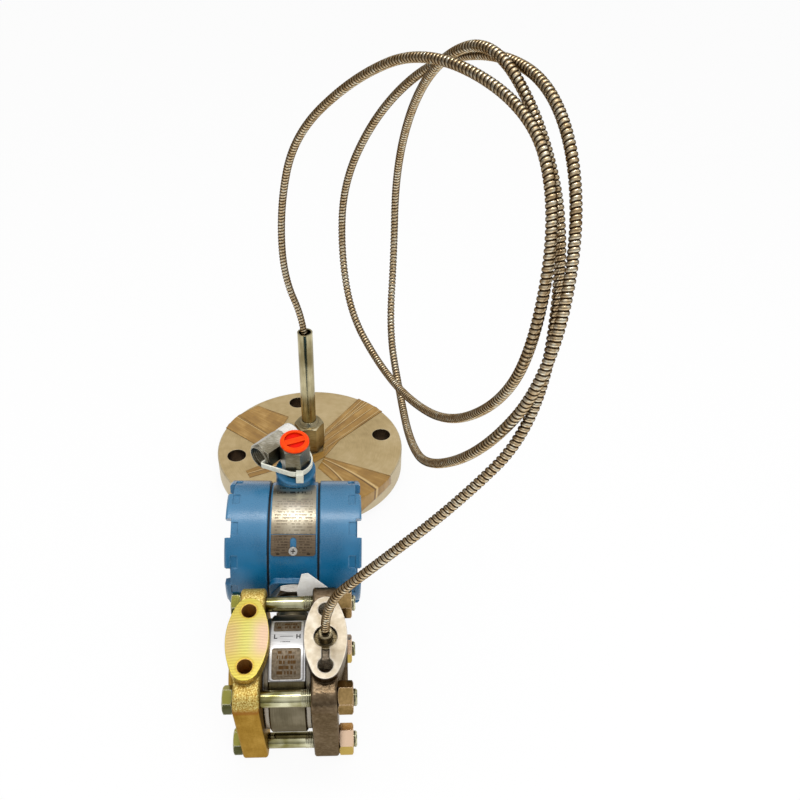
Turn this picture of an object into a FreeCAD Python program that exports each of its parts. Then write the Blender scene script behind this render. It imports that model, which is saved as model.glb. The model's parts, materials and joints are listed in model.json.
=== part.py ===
import FreeCAD, Part
import math
import os

os.makedirs("parts", exist_ok=True)
V = FreeCAD.Vector

# A differential-pressure transmitter with a remote flanged seal on an armoured capillary.
# Millimetres. The transmitter lies on its back with its process pads up, the seal flange lies flat
# behind it. Origin: bottom centre of the rigid pieces, +X from the low to the high side, +Y away
# from the process end, +Z up. Pieces of the transmitter are drawn in its own frame: x from the low
# to the high side, y along the neck towards the housing, z out of the process pads.

# Clearances
seat_gap = 0.05
running_gap = 0.08
free_gap = 0.3

# How far a cutting or joining solid reaches past a face, and the corner chamfer of hexagons as a
# share of the corner's height over the flats
past = 1.0
hex_chamfer = 0.6

# Process flanges and their bolting
bolt_square = 71.0
bolt_dia = 11.1
bolt_hole_dia = 11.9
corner_radius = 11.5
cast_round = 2.0
flange_gap = 34.0
flange_thick = 18.0
bolt_head_flats = 16.5
bolt_head_thick = 7.0
bolt_end = 2.6
nut_flats = 19.0
nut_thick = 10.5
head_turn = 12.0
nut_turn = 20.0
spot_face_gap = 0.8
bolt_chamfer = 1.0
hub_radius = 29.0
hub_taper = 1.5
hub_edge = 2.0
pad_height = 53.5
pad_thick = 10.0
pad_spacing = 54.0
pad_width = 30.0
pad_end_radius = 9.9
pad_overhang = 1.0
pad_hole_spacing = 41.3
pad_hole_dia = 9.9
pad_hole_depth = 17.0
pad_hole_chamfer = 0.9
port_dia = 16.5
port_depth = 7.0
keyway_width = 5.5
keyway_depth = 4.0
chamber_radius = 25.0
chamber_depth = 2.0

# Sensor module between the flanges
module_radius = 40.5
module_width = 26.0
module_ring_radius = 38.5
module_edge = 1.0
gasket_thick = 1.0
gasket_inner = 27.0
gasket_outer = 33.0
diaphragm_radius = 26.0
diaphragm_thick = 0.4
diaphragm_sink = 0.6
label_width = 25.4
label_span = 68.0
label_thick = 0.5
neck_radius = 12.0
neck_step = 0.5
neck_flare = 3.0
spigot_edge = 1.0
spigot_radius = 10.5
spigot_floor = 1.6
lock_nut_flats = 32.0
lock_nut_thick = 6.5
tag_thick = 0.6
tag_lean = 24.0
tag_loop_width = 8.0
tag_tuck = 1.5
tag_outline = [(5, -0.9), (28, 3.7), (29.5, 12), (13, 26.8), (8, 26), (4, 12)]

# Electronics housing
neck_reach = 67.5
housing_radius = 49.0
housing_width = 37.4
housing_turn = 1.7
thread_step = 6.0
thread_length = 21.0
nose_wall = 5.0
nose_edge = 1.0
barrel_edge = 0.6
divider_thick = 10.0
collar_depth = 17.0
collar_height = 1.4
collar_round = 6.0
cover_proud = 1.0
cover_length = 32.7
cover_wall = 4.0
cover_edge = 1.5
cover_seal_thick = 1.6
cover_seal_inset = 1.8
cover_rim_width = 8.0
cover_rim_height = 4.5
cover_lugs = 8
cover_notch = 15.0
cover_pockets = 12
cover_pocket_turn = -7.0
cover_pocket_width = 10.0
cover_pocket_length = 5.5
cover_pocket_depth = 1.2
plate_thick = 0.6
plate_width = 34.6
plate_round = 2.5
nameplate_foot = -28.0
nameplate_top = 31.0
slide_plate_foot = -47.5
slide_travel = 9.0
slide_split = 0.6
slide_slot_gap = 0.4
slide_screw_at = -42.8
slide_screw_radius = 2.0
slide_screw_head = 3.4
slide_screw_thick = 1.8
adjust_screw_radius = 2.5
adjust_screw_spread = 21.0
adjust_screw_at = -37.0
adjust_screw_sink = 1.0
screw_depth = 6.0

# Conduit openings and what closes them
conduit_offset = 37.0
conduit_radius = 16.4
conduit_face = 50.0
conduit_back = 61.0
conduit_bore = 10.5
conduit_edge = 1.0
conduit_bore_foot = 16.0
adapter_flats = 21.0
adapter_turn = 22.0
adapter_hex = 24.5
adapter_stand = 6.0
adapter_collar = 2.0
adapter_collar_radius = 10.3
adapter_thread = 13.0
adapter_bore = 9.0
adapter_edge = 0.6
plug_radius = 11.6
plug_thick = 3.0
plug_rim = 3.4
plug_edge = 1.2
plug_recess = 2.0
plug_bar_width = 5.0
plug_bar_drop = 0.5
plug_bar_root = 0.5
plug_bar_turn = 20.0
plug_spigot = 6.0
rear_plug_flats = 19.0
rear_plug_head = 17.0
spare_turn = 133.4
spare_tilt = 4.2
spare_roll = 25.0
spare_gap = 0.7
spare_ahead = 18.7
spare_sink = 1.6
tie_width = 4.8
tie_thick = 1.2
tie_bend = 1.6
tie_aside = 7.0
tie_out = 1.6
tie_lift = 3.0
tie_gap = 0.8
tie_head_width = 6.0
tie_head_depth = 5.6
tie_head_drop = 7.0
tie_head_aside = 4.0

# Terminal and circuit compartments
terminal_gap = 4.0
terminal_thick = 12.0
terminal_margin = 14.0
terminal_edge = 3.0
terminal_screws = 6
terminal_screw_radius = 3.2
terminal_screw_head = 2.5
terminal_screw_depth = 4.0
board_gap = 5.0
board_thick = 1.6
board_pitch = 9.0
board_count = 2
standoff_radius = 2.5
standoff_margin = 6.0
standoff_count = 4
standoff_turn = 45.0

# Remote seal
seal_reach = 289.9
seal_offset = 6.1
seal_dia = 190.5
seal_thick = 24.0
seal_bolt_circle = 152.4
seal_hole_dia = 19.05
seal_holes = 4
seal_turn = 11.6
seal_face_dia = 127.0
seal_face_height = 6.0
seal_face_recess = 1.0
seal_face_edge = 0.5
seal_diaphragm_dia = 89.0
seal_diaphragm_thick = 0.3
seal_edge = 1.0
block_flats = 26.0
block_height = 30.0
block_turn = 30.0
block_neck_height = 4.0
weld_foot = 2.5
weld_top = 0.6
tube_dia = 14.5
tube_wall = 1.4
tube_top = 137.0
ferrule_length = 10.0
ferrule_depth = 20.0

# Capillary armour
armour_dia = 6.4
fitting_dia = 10.0
fitting_rise = 6.0
fitting_base = 4.0
fitting_edge = 0.8
pad_exit_run = 37.0
tube_exit_run = 31.0
bend_share = 0.45


def turned(profile, along="x", at=V(0, 0, 0)):
    """A solid of revolution from (distance along the axis, radius) points."""
    points = [V(a, r, 0) for a, r in profile]
    wire = Part.makePolygon(points + points[:1])
    solid = Part.Face(wire).revolve(V(0, 0, 0), V(1, 0, 0), 360)
    if along == "y":
        solid.rotate(V(0, 0, 0), V(0, 0, 1), 90)
    if along == "z":
        solid.rotate(V(0, 0, 0), V(0, 1, 0), -90)
    solid.translate(at)
    return solid


def rod(radius, start, end, along="x", at=V(0, 0, 0), bore=0.0):
    """A round bar or bushing between two distances along an axis."""
    return turned([(start, bore), (start, radius), (end, radius), (end, bore)], along, at)


def hexagon(flats, start, end, along="x", at=V(0, 0, 0), bore=0.0, turn=0.0, chamfer=True):
    """A hexagonal bar with its corners chamfered at both ends."""
    corner = flats / math.sqrt(3)
    points = []
    for k in range(7):
        a = math.radians(60 * k + turn)
        points.append(V(start, corner * math.cos(a), corner * math.sin(a)))
    bar = Part.Face(Part.makePolygon(points)).extrude(V(end - start, 0, 0))
    if chamfer:
        cut = (corner - flats / 2) * hex_chamfer
        round_bar = turned(
            [
                (start, 0),
                (start, flats / 2),
                (start + cut, corner),
                (end - cut, corner),
                (end, flats / 2),
                (end, 0),
            ]
        )
        bar = bar.common(round_bar)
    if bore:
        bar = bar.cut(rod(bore, start - past, end + past))
    if along == "y":
        bar.rotate(V(0, 0, 0), V(0, 0, 1), 90)
    if along == "z":
        bar.rotate(V(0, 0, 0), V(0, 1, 0), -90)
    bar.translate(at)
    return bar


def block(x0, x1, y0, y1, z0, z1):
    return Part.makeBox(x1 - x0, y1 - y0, z1 - z0, V(x0, y0, z0))


def curved_plate(half_width, inner, outer, foot, top):
    """A plate bent round the housing barrel, between two angles from the pad direction."""
    centre = V(0, housing_reach, 0)
    corners = [(-half_width, inner), (-half_width, outer), (half_width, outer), (half_width, inner)]
    points = [V(x, housing_reach, r) for x, r in corners]
    plate = Part.Face(Part.makePolygon(points + points[:1])).revolve(centre, V(1, 0, 0), top - foot)
    plate.rotate(centre, V(1, 0, 0), -top)
    return plate


def rounded_end(plate, angle):
    """The plate with its two corners at one end rounded."""
    a = math.radians(angle)
    normal = V(0, math.cos(a), -math.sin(a))
    centre = V(0, housing_reach, 0)
    corners = []
    for e in plate.Edges:
        across = abs(e.tangentAt(e.FirstParameter).x) < 0.1 and e.Length < 2 * plate_thick
        if across and abs(e.Vertexes[0].Point.sub(centre).dot(normal)) < 0.01:
            corners.append(e)
    return plate.makeFillet(plate_round, corners)


def barrel_pin(angle, radius, inner, outer, x=0.0):
    """A round pin that stands square on the housing barrel."""
    pin = rod(radius, inner, outer, "z")
    pin.rotate(V(0, 0, 0), V(1, 0, 0), -angle)
    pin.translate(V(x, housing_reach, 0))
    return pin


def oval(width, end_radius, spacing, z0, z1):
    """A boss with round ends about two bolt holes and bowed sides tangent to them."""
    middle = width / 2
    reach = spacing / 2
    bow = (middle**2 + reach**2 - end_radius**2) / (2 * (middle - end_radius))
    way = math.atan2(reach, bow - middle)
    end = V(middle - bow + bow * math.cos(way), bow * math.sin(way), z0)

    def flip(p, sx, sy):
        return V(p.x * sx, p.y * sy, z0)

    edges = [
        Part.Arc(flip(end, 1, -1), V(middle, 0, z0), end).toShape(),
        Part.Arc(end, V(0, reach + end_radius, z0), flip(end, -1, 1)).toShape(),
        Part.Arc(flip(end, -1, 1), V(-middle, 0, z0), flip(end, -1, -1)).toShape(),
        Part.Arc(flip(end, -1, -1), V(0, -reach - end_radius, z0), flip(end, 1, -1)).toShape(),
    ]
    return Part.Face(Part.Wire(edges)).extrude(V(0, 0, z1 - z0))


# Sizes that follow from the ones above: the housing's steps, its place on the neck and the conduit
# openings, and the compartments' contents.
half_square = bolt_square / 2
plate_half = half_square + corner_radius
housing_reach = plate_half + neck_reach
conduit_reach = housing_reach + conduit_offset
thread_radius = housing_radius - thread_step
cavity_radius = thread_radius - nose_wall
cover_radius = housing_radius + cover_proud
cover_seal_outer = cover_radius - cover_seal_inset
cover_rim_radius = cover_radius - cover_rim_width
terminal_radius = cavity_radius - terminal_gap
terminal_circle = terminal_radius - terminal_margin
board_radius = cavity_radius - board_gap
standoff_circle = board_radius - standoff_margin

# How far the transmitter leans: it rests on the rounded near corners of both process flanges and
# on the edge of the plug in the rear conduit opening.
rear_tip = conduit_back + rear_plug_head
lean_run = conduit_reach - rear_plug_flats / 2 + half_square
lean_rise = rear_tip - half_square
lean = math.atan2(lean_rise, lean_run) - math.asin(corner_radius / math.hypot(lean_run, lean_rise))
lean_height = half_square * (math.sin(lean) + math.cos(lean)) + corner_radius

# Place of the transmitter and the seal: the box round them is centred on the origin.
near_edge = half_square * (math.cos(lean) + math.sin(lean)) + corner_radius
far_edge = seal_reach + seal_dia / 2
seal_at = V(0, seal_reach + (near_edge - far_edge) / 2, 0)
base_at = V(-seal_offset, (near_edge - far_edge) / 2, lean_height)
base_place = FreeCAD.Placement(base_at, FreeCAD.Rotation(V(1, 0, 0), math.degrees(lean)))
swivel = FreeCAD.Placement(V(0, 0, 0), FreeCAD.Rotation(V(0, 1, 0), housing_turn))
housing_place = base_place.multiply(swivel)
seal_place = FreeCAD.Placement(seal_at, FreeCAD.Rotation())


def save(name, solids, place):
    shape = Part.makeCompound(solids) if len(solids) > 1 else solids[0].copy()
    shape.Placement = place.multiply(shape.Placement)
    shape.exportStep("parts/" + name + ".step")


# Process flanges: square plates with round corners about the bolts, a round hub on the outer face
# and an oval pad on a riser. The high side's pad has a port for the capillary and a keyway to the
# near bolt hole.
plate_inner = flange_gap / 2
plate_outer = plate_inner + flange_thick
pad_centre = pad_spacing / 2
pad_outer = pad_centre + pad_width / 2
spot_face = nut_flats / math.sqrt(3) + spot_face_gap
bolt_places = [(y * half_square, z * half_square) for y in (1, -1) for z in (1, -1)]


def process_flange(high):
    plate = block(plate_inner, plate_outer, -plate_half, plate_half, -plate_half, plate_half)
    corners = [e for e in plate.Edges if abs(e.tangentAt(e.FirstParameter).x) > 0.9]
    plate = plate.makeFillet(corner_radius, corners)
    rims = [e for e in plate.Edges if abs(e.tangentAt(e.FirstParameter).x) < 0.1]
    plate = plate.makeFillet(cast_round, rims)
    hub = turned(
        [
            (plate_inner, 0),
            (plate_inner, hub_radius),
            (plate_outer, hub_radius),
            (pad_outer - hub_edge, hub_radius - hub_taper),
            (pad_outer, hub_radius - hub_taper - hub_edge),
            (pad_outer, 0),
        ]
    )
    pad = oval(pad_width, pad_end_radius, pad_hole_spacing, pad_height - pad_thick, pad_height)
    pad_foot = pad_height - pad_thick
    riser_width = pad_width - 2 * pad_overhang
    riser = oval(riser_width, pad_end_radius - pad_overhang, pad_hole_spacing, 0.0, pad_foot)
    pad.translate(V(pad_centre, 0, 0))
    riser.translate(V(pad_centre, 0, 0))
    riser = riser.cut(block(0, plate_inner, -pad_spacing, pad_spacing, -past, pad_foot))
    body = plate.fuse([hub, riser, pad]).removeSplitter()
    cuts = [rod(chamber_radius, plate_inner - past, plate_inner + chamber_depth)]
    for y, z in bolt_places:
        cuts.append(rod(bolt_hole_dia / 2, 0, pad_outer + past, "x", V(0, y, z)))
        cuts.append(rod(spot_face, plate_outer, pad_outer + past, "x", V(0, y, z)))
    for side in (1, -1):
        mouth = V(pad_centre, side * pad_hole_spacing / 2, pad_height)
        wide = pad_hole_dia / 2 + pad_hole_chamfer
        hole = [
            (-pad_hole_depth, 0),
            (-pad_hole_depth, pad_hole_dia / 2),
            (-pad_hole_chamfer, pad_hole_dia / 2),
            (0, wide),
            (past, wide),
            (past, 0),
        ]
        cuts.append(turned(hole, "z", mouth))
    if high:
        port_floor = pad_height - port_depth
        cuts.append(rod(port_dia / 2, port_floor, pad_height + past, "z", V(pad_centre, 0, 0)))
        keyway_x = (pad_centre - keyway_width / 2, pad_centre + keyway_width / 2)
        keyway_floor = pad_height - keyway_depth
        cuts.append(block(*keyway_x, -pad_hole_spacing / 2, 0, keyway_floor, pad_height + past))
    body = body.cut(cuts)
    if not high:
        body = body.mirror(V(0, 0, 0), V(1, 0, 0))
    return body


save("process_flange_high", [process_flange(True)], base_place)
save("process_flange_low", [process_flange(False)], base_place)

# Flange bolts with their heads on the low side, and heavy nuts on the high side.
bolts = []
nuts = []
for y, z in bolt_places:
    centre = V(0, y, z)
    head_end = -plate_outer - bolt_head_thick
    head = hexagon(bolt_head_flats, head_end, -plate_outer, "x", centre, 0, head_turn)
    shank_end = plate_outer + nut_thick + bolt_end
    shank = turned(
        [
            (-plate_outer - past, 0),
            (-plate_outer - past, bolt_dia / 2),
            (shank_end - bolt_chamfer, bolt_dia / 2),
            (shank_end, bolt_dia / 2 - bolt_chamfer),
            (shank_end, 0),
        ],
        "x",
        centre,
    )
    bolts.append(head.fuse(shank).removeSplitter())
    nut_bore = bolt_dia / 2 + seat_gap
    nut_end = plate_outer + nut_thick
    nuts.append(hexagon(nut_flats, plate_outer, nut_end, "x", centre, nut_bore, nut_turn))
save("flange_bolts", bolts, base_place)
save("flange_nuts", nuts, base_place)

# Sensor module: a welded disc with a stepped ring each side, a recess for each isolating diaphragm,
# a neck towards the housing and a round spigot that the housing turns on.
core = module_width / 2
ring = plate_inner - gasket_thick
recess = ring - diaphragm_thick - diaphragm_sink
module_profile = [
    (-recess, 0),
    (-recess, diaphragm_radius + seat_gap),
    (-ring, diaphragm_radius + seat_gap),
    (-ring, module_ring_radius),
    (-core, module_ring_radius),
    (-core, module_radius - module_edge),
    (-core + module_edge, module_radius),
    (core - module_edge, module_radius),
    (core, module_radius - module_edge),
    (core, module_ring_radius),
    (ring, module_ring_radius),
    (ring, diaphragm_radius + seat_gap),
    (recess, diaphragm_radius + seat_gap),
    (recess, 0),
]
collar_foot = housing_reach - housing_radius - collar_height
collar_top = housing_reach - cavity_radius
spigot_end = collar_top - spigot_floor - free_gap
shoulder = collar_foot - free_gap - lock_nut_thick
neck_foot = core - neck_step
neck = turned(
    [
        (diaphragm_radius, 0),
        (diaphragm_radius, neck_foot),
        (module_radius, neck_foot),
        (module_radius + neck_flare, neck_radius),
        (shoulder, neck_radius),
        (shoulder, spigot_radius),
        (spigot_end - spigot_edge, spigot_radius),
        (spigot_end, spigot_radius - spigot_edge),
        (spigot_end, 0),
    ],
    "y",
)
save("sensor_module", [turned(module_profile).fuse(neck).removeSplitter()], base_place)
lock_nut = hexagon(
    lock_nut_flats, shoulder, shoulder + lock_nut_thick, "y", V(0, 0, 0), spigot_radius + seat_gap, 0
)
save("neck_lock_nut", [lock_nut], base_place)

for name, side in (("low", -1), ("high", 1)):
    film = rod(diaphragm_radius, recess, recess + diaphragm_thick)
    gasket = rod(gasket_outer, ring, plate_inner, bore=gasket_inner)
    if side < 0:
        film = film.mirror(V(0, 0, 0), V(1, 0, 0))
        gasket = gasket.mirror(V(0, 0, 0), V(1, 0, 0))
    save("isolating_diaphragm_" + name, [film], base_place)
    save("process_gasket_" + name, [gasket], base_place)

# Label plate bent over the top of the module.
label_inner = module_radius + seat_gap
label_edge = [
    (-label_width / 2, label_inner),
    (-label_width / 2, label_inner + label_thick),
    (label_width / 2, label_inner + label_thick),
    (label_width / 2, label_inner),
]
label_points = [V(x, 0, r) for x, r in label_edge]
label_face = Part.Face(Part.makePolygon(label_points + label_points[:1]))
label = label_face.revolve(V(0, 0, 0), V(1, 0, 0), label_span)
label.rotate(V(0, 0, 0), V(1, 0, 0), -label_span / 2)
save("module_label", [label], base_place)

# Flag tag: a paper strip folded round the neck, with its two ends stuck together.
tag_near = plate_half - tag_tuck
tag_inner = neck_radius + seat_gap
tag_far = tag_near + tag_loop_width
tag_foot = tag_near + tag_loop_width / 2
tag_loop = rod(tag_inner + tag_thick, tag_near, tag_far, "y", V(0, 0, 0), tag_inner)
tag_points = [V(x, tag_foot, tag_inner + z) for x, z in tag_outline]
tag_flag = Part.Face(Part.makePolygon(tag_points + tag_points[:1])).extrude(V(0, tag_thick, 0))
tag_flag.rotate(V(0, tag_foot, tag_inner), V(1, 0, 0), -tag_lean)
save("neck_tag", [tag_loop.fuse(tag_flag).removeSplitter()], base_place)

# Housing body: a barrel across the neck with a threaded nose at each end, two compartments, a low
# base over the neck and a conduit boss front and rear.
housing_half = housing_width / 2
nose_end = housing_half + thread_length
centre = V(0, housing_reach, 0)
barrel = turned(
    [
        (-nose_end, 0),
        (-nose_end, thread_radius - nose_edge),
        (-nose_end + nose_edge, thread_radius),
        (-housing_half, thread_radius),
        (-housing_half, housing_radius - barrel_edge),
        (-housing_half + barrel_edge, housing_radius),
        (housing_half - barrel_edge, housing_radius),
        (housing_half, housing_radius - barrel_edge),
        (housing_half, thread_radius),
        (nose_end - nose_edge, thread_radius),
        (nose_end, thread_radius - nose_edge),
        (nose_end, 0),
    ],
    "x",
    centre,
)
collar = block(-housing_half, housing_half, collar_foot, collar_top, -collar_depth, collar_depth)
uprights = [e for e in collar.Edges if abs(e.tangentAt(e.FirstParameter).y) > 0.9]
collar = collar.makeFillet(collar_round, uprights)
conduit_axis = V(0, conduit_reach, 0)
boss = turned(
    [
        (-conduit_back, 0),
        (-conduit_back, conduit_radius - conduit_edge),
        (-conduit_back + conduit_edge, conduit_radius),
        (conduit_face - conduit_edge, conduit_radius),
        (conduit_face, conduit_radius - conduit_edge),
        (conduit_face, 0),
    ],
    "z",
    conduit_axis,
)
housing = barrel.fuse([collar, boss]).removeSplitter()
half_divider = divider_thick / 2
cuts = [
    rod(cavity_radius, half_divider, nose_end + past, "x", centre),
    rod(cavity_radius, -nose_end - past, -half_divider, "x", centre),
    rod(spigot_radius + running_gap, collar_foot - past, spigot_end + free_gap, "y"),
    rod(conduit_bore, conduit_bore_foot, conduit_face + past, "z", conduit_axis),
    rod(conduit_bore, -conduit_back - past, -conduit_bore_foot, "z", conduit_axis),
]
screw_floor = housing_radius - screw_depth
screw_mouth = housing_radius + past
cuts.append(barrel_pin(slide_screw_at, slide_screw_radius + seat_gap, screw_floor, screw_mouth))
for side in (-1, 1):
    x = side * adjust_screw_spread / 2
    pit = adjust_screw_radius + seat_gap
    cuts.append(barrel_pin(adjust_screw_at, pit, screw_floor, screw_mouth, x))
save("housing_body", [housing.cut(cuts)], housing_place)

# Covers: cups that screw on the housing noses, with a castellated rim for the wrench and shallow
# pockets round the barrel behind it. A flat ring seals each one against the barrel.
seam = housing_half + cover_seal_thick
rim_end = seam + cover_length
rim_foot = rim_end - cover_rim_height


def cover():
    cup = turned(
        [
            (seam, thread_radius + running_gap),
            (seam, cover_radius - barrel_edge),
            (seam + barrel_edge, cover_radius),
            (rim_end - cover_edge, cover_radius),
            (rim_end, cover_radius - cover_edge),
            (rim_end, cover_rim_radius),
            (rim_foot, cover_rim_radius - cover_edge),
            (rim_foot, 0),
            (rim_foot - cover_wall, 0),
            (rim_foot - cover_wall, thread_radius + running_gap),
        ],
        "x",
        centre,
    )
    cuts = []
    half = cover_notch / 2
    notch_floor = cover_rim_radius - cover_edge - past
    for k in range(cover_lugs):
        notch = block(rim_foot, rim_end + past, -half, half, notch_floor, cover_radius + past)
        notch.rotate(V(0, 0, 0), V(1, 0, 0), 360.0 / cover_lugs * (k + 0.5))
        cuts.append(notch)
    half = cover_pocket_width / 2
    pocket_floor = cover_radius - cover_pocket_depth
    pocket_x = (rim_foot - cover_pocket_length, rim_foot)
    for k in range(cover_pockets):
        pocket = block(*pocket_x, -half, half, pocket_floor, cover_radius + past)
        pocket.rotate(V(0, 0, 0), V(1, 0, 0), 360.0 / cover_pockets * k + cover_pocket_turn)
        cuts.append(pocket)
    for tool in cuts:
        tool.translate(centre)
    return cup.cut(cuts)


right_cover = cover()
ring_inner = thread_radius + running_gap
right_seal = rod(cover_seal_outer, housing_half + seat_gap, seam - seat_gap, "x", centre, ring_inner)
save("circuit_cover", [right_cover], housing_place)
save("circuit_cover_seal", [right_seal], housing_place)
save("terminal_cover", [right_cover.mirror(V(0, 0, 0), V(1, 0, 0))], housing_place)
save("terminal_cover_seal", [right_seal.mirror(V(0, 0, 0), V(1, 0, 0))], housing_place)

# Plates on the barrel: a fixed plate, and below it a plate with a slot that slides round the barrel
# on one screw and covers the two adjusting screws.
plate_inside = housing_radius + seat_gap
plate_outside = plate_inside + plate_thick
plate_half_width = plate_width / 2
nameplate = curved_plate(plate_half_width, plate_inside, plate_outside, nameplate_foot, nameplate_top)
boss_way = rod(conduit_radius + free_gap, 0, plate_outside, "z", conduit_axis)
save("nameplate", [rounded_end(nameplate, nameplate_top).cut(boss_way)], housing_place)

slide_inside = housing_radius + free_gap
slide_outside = slide_inside + plate_thick
slide_top = nameplate_foot - slide_split
slide_plate = curved_plate(plate_half_width, slide_inside, slide_outside, slide_plate_foot, slide_top)
slide_plate = rounded_end(slide_plate, slide_plate_foot)
slot_half = slide_screw_radius + slide_slot_gap
slot_ends = (slide_screw_at, slide_screw_at + slide_travel)
slot_span = (slide_inside - past, slide_outside + past)
slot = curved_plate(slot_half, *slot_span, *slot_ends)
slot_round = [barrel_pin(a, slot_half, *slot_span) for a in slot_ends]
save("adjust_plate", [slide_plate.cut([slot] + slot_round)], housing_place)

head_foot = slide_outside + free_gap
slide_screw = barrel_pin(slide_screw_at, slide_screw_radius, screw_floor, head_foot)
slide_head = barrel_pin(slide_screw_at, slide_screw_head, head_foot, head_foot + slide_screw_thick)
save("adjust_plate_screw", [slide_screw.fuse(slide_head).removeSplitter()], housing_place)

adjusters = []
for side in (-1, 1):
    x = side * adjust_screw_spread / 2
    screw_top = housing_radius - adjust_screw_sink
    adjusters.append(barrel_pin(adjust_screw_at, adjust_screw_radius, screw_floor, screw_top, x))
save("adjust_screws", adjusters, housing_place)

# Conduit adapter: a hexagon with a round collar and a threaded spigot, bored through. A slotted
# plug closes the front one, a hexagon plug closes the rear opening, and a spare one is tied on.


def adapter():
    spigot = rod(conduit_bore - seat_gap, -adapter_thread, past, "z")
    body = hexagon(adapter_flats, 0, adapter_hex, "z", V(0, 0, 0), 0, adapter_turn)
    mouth_end = adapter_hex + adapter_collar
    mouth = turned(
        [
            (adapter_hex - past, 0),
            (adapter_hex - past, adapter_collar_radius),
            (mouth_end - adapter_edge, adapter_collar_radius),
            (mouth_end, adapter_collar_radius - adapter_edge),
            (mouth_end, 0),
        ],
        "z",
    )
    bore = rod(adapter_bore, -adapter_thread - past, mouth_end + past, "z")
    return body.fuse([spigot, mouth]).removeSplitter().cut(bore)


front_adapter = adapter()
front_foot = conduit_face + adapter_stand
front_adapter.translate(V(0, conduit_reach, front_foot))
save("conduit_adapter", [front_adapter], housing_place)

plug_foot = front_foot + adapter_hex + adapter_collar
plug_head_end = plug_foot + plug_thick
plug = turned(
    [
        (plug_foot - plug_spigot, 0),
        (plug_foot - plug_spigot, adapter_bore - seat_gap),
        (plug_foot, adapter_bore - seat_gap),
        (plug_foot, plug_radius),
        (plug_head_end - plug_edge, plug_radius),
        (plug_head_end, plug_radius - plug_edge),
        (plug_head_end, 0),
    ],
    "z",
    conduit_axis,
)
recess_foot = plug_head_end - plug_recess
recess_radius = plug_radius - plug_rim
recess = rod(recess_radius, recess_foot, plug_head_end + past, "z", conduit_axis)
bar_y = (conduit_reach - plug_bar_width / 2, conduit_reach + plug_bar_width / 2)
bar_half = recess_radius + past
bar_z = (recess_foot - plug_bar_root, plug_head_end - plug_bar_drop)
grip = block(-bar_half, bar_half, *bar_y, *bar_z)
grip.rotate(conduit_axis, V(0, 0, 1), plug_bar_turn)
save("shipping_plug", [plug.cut(recess).fuse(grip).removeSplitter()], housing_place)

rear_hex = hexagon(rear_plug_flats, -rear_tip, -conduit_back, "z", conduit_axis)
rear_thread_end = adapter_thread - conduit_back
rear_thread = rod(conduit_bore - seat_gap, -conduit_back - past, rear_thread_end, "z", conduit_axis)
save("rear_conduit_plug", [rear_hex.fuse(rear_thread).removeSplitter()], housing_place)

# The spare adapter lies beside the front one with its mouth towards the low side and the pads.
turn = math.radians(spare_turn)
spare_way = V(math.cos(turn), -math.sin(turn), 0)
spare_side = V(math.sin(turn), math.cos(turn), 0)
adapter_corner = adapter_flats / math.sqrt(3)
spare_apart = adapter_flats / 2 + adapter_corner + spare_gap
spare_mouth = conduit_axis + spare_way * spare_ahead - spare_side * spare_apart
spare_mouth.z = conduit_face + adapter_corner - spare_sink
spare_length = adapter_hex + adapter_collar + adapter_thread
spare = adapter()
spare.translate(V(0, 0, -adapter_hex - adapter_collar))
spare.rotate(V(0, 0, 0), V(0, 0, 1), spare_roll)
spare.rotate(V(0, 0, 0), V(0, 1, 0), 90 - spare_tilt)
spare.rotate(V(0, 0, 0), V(0, 0, 1), -spare_turn)
spare.translate(spare_mouth)
save("spare_adapter", [spare], housing_place)

# Nylon tie: one closed strap round the front adapter's hexagon and through the spare's bore.
loop_z = front_foot + tie_lift
front_round = adapter_corner + tie_gap + tie_thick
mouth_out = spare_mouth + spare_way * tie_out + spare_side * tie_aside
back_out = spare_mouth - spare_way * (spare_length + tie_out) + spare_side * tie_aside


def tie_outline(shrink):
    """The strap's outer or inner line: a hull of three circles in one plane."""
    rounds = [
        (conduit_axis, front_round - shrink),
        (mouth_out, tie_bend - shrink),
        (back_out, tie_bend - shrink),
    ]
    faces = []
    for spot, radius in rounds:
        edge = Part.makeCircle(radius, V(spot.x, spot.y, 0))
        faces.append(Part.Face(Part.Wire(edge)))
    for (p, rp), (q, rq) in ((rounds[0], rounds[1]), (rounds[1], rounds[2]), (rounds[2], rounds[0])):
        way = V(q.x - p.x, q.y - p.y, 0)
        far = way.Length
        angle = math.atan2(way.y, way.x)
        spread = math.acos((rp - rq) / far)
        tips = []
        for spot, radius, side in ((p, rp, 1), (q, rq, 1), (q, rq, -1), (p, rp, -1)):
            a = angle + side * spread
            tips.append(V(spot.x + radius * math.cos(a), spot.y + radius * math.sin(a), 0))
        faces.append(Part.Face(Part.makePolygon(tips + tips[:1])))
    middle = [V(spot.x, spot.y, 0) for spot, radius in rounds]
    faces.append(Part.Face(Part.makePolygon(middle + middle[:1])))
    return faces[0].fuse(faces[1:]).removeSplitter()


strap_foot = V(0, 0, loop_z - tie_width / 2)
outer_band = tie_outline(0.0).extrude(V(0, 0, tie_width))
inner_band = tie_outline(tie_thick).extrude(V(0, 0, tie_width))
strap = outer_band.cut(inner_band)
strap.translate(strap_foot)
head_x = (tie_head_aside - tie_head_width / 2, tie_head_aside + tie_head_width / 2)
head_front = conduit_reach - front_round - tie_head_depth / 2
head_z = (loop_z - tie_head_drop, loop_z + tie_width / 2)
tie_head = block(*head_x, head_front, head_front + tie_head_depth, *head_z)
save("cable_tie", [strap.fuse(tie_head).removeSplitter()], housing_place)

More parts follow.
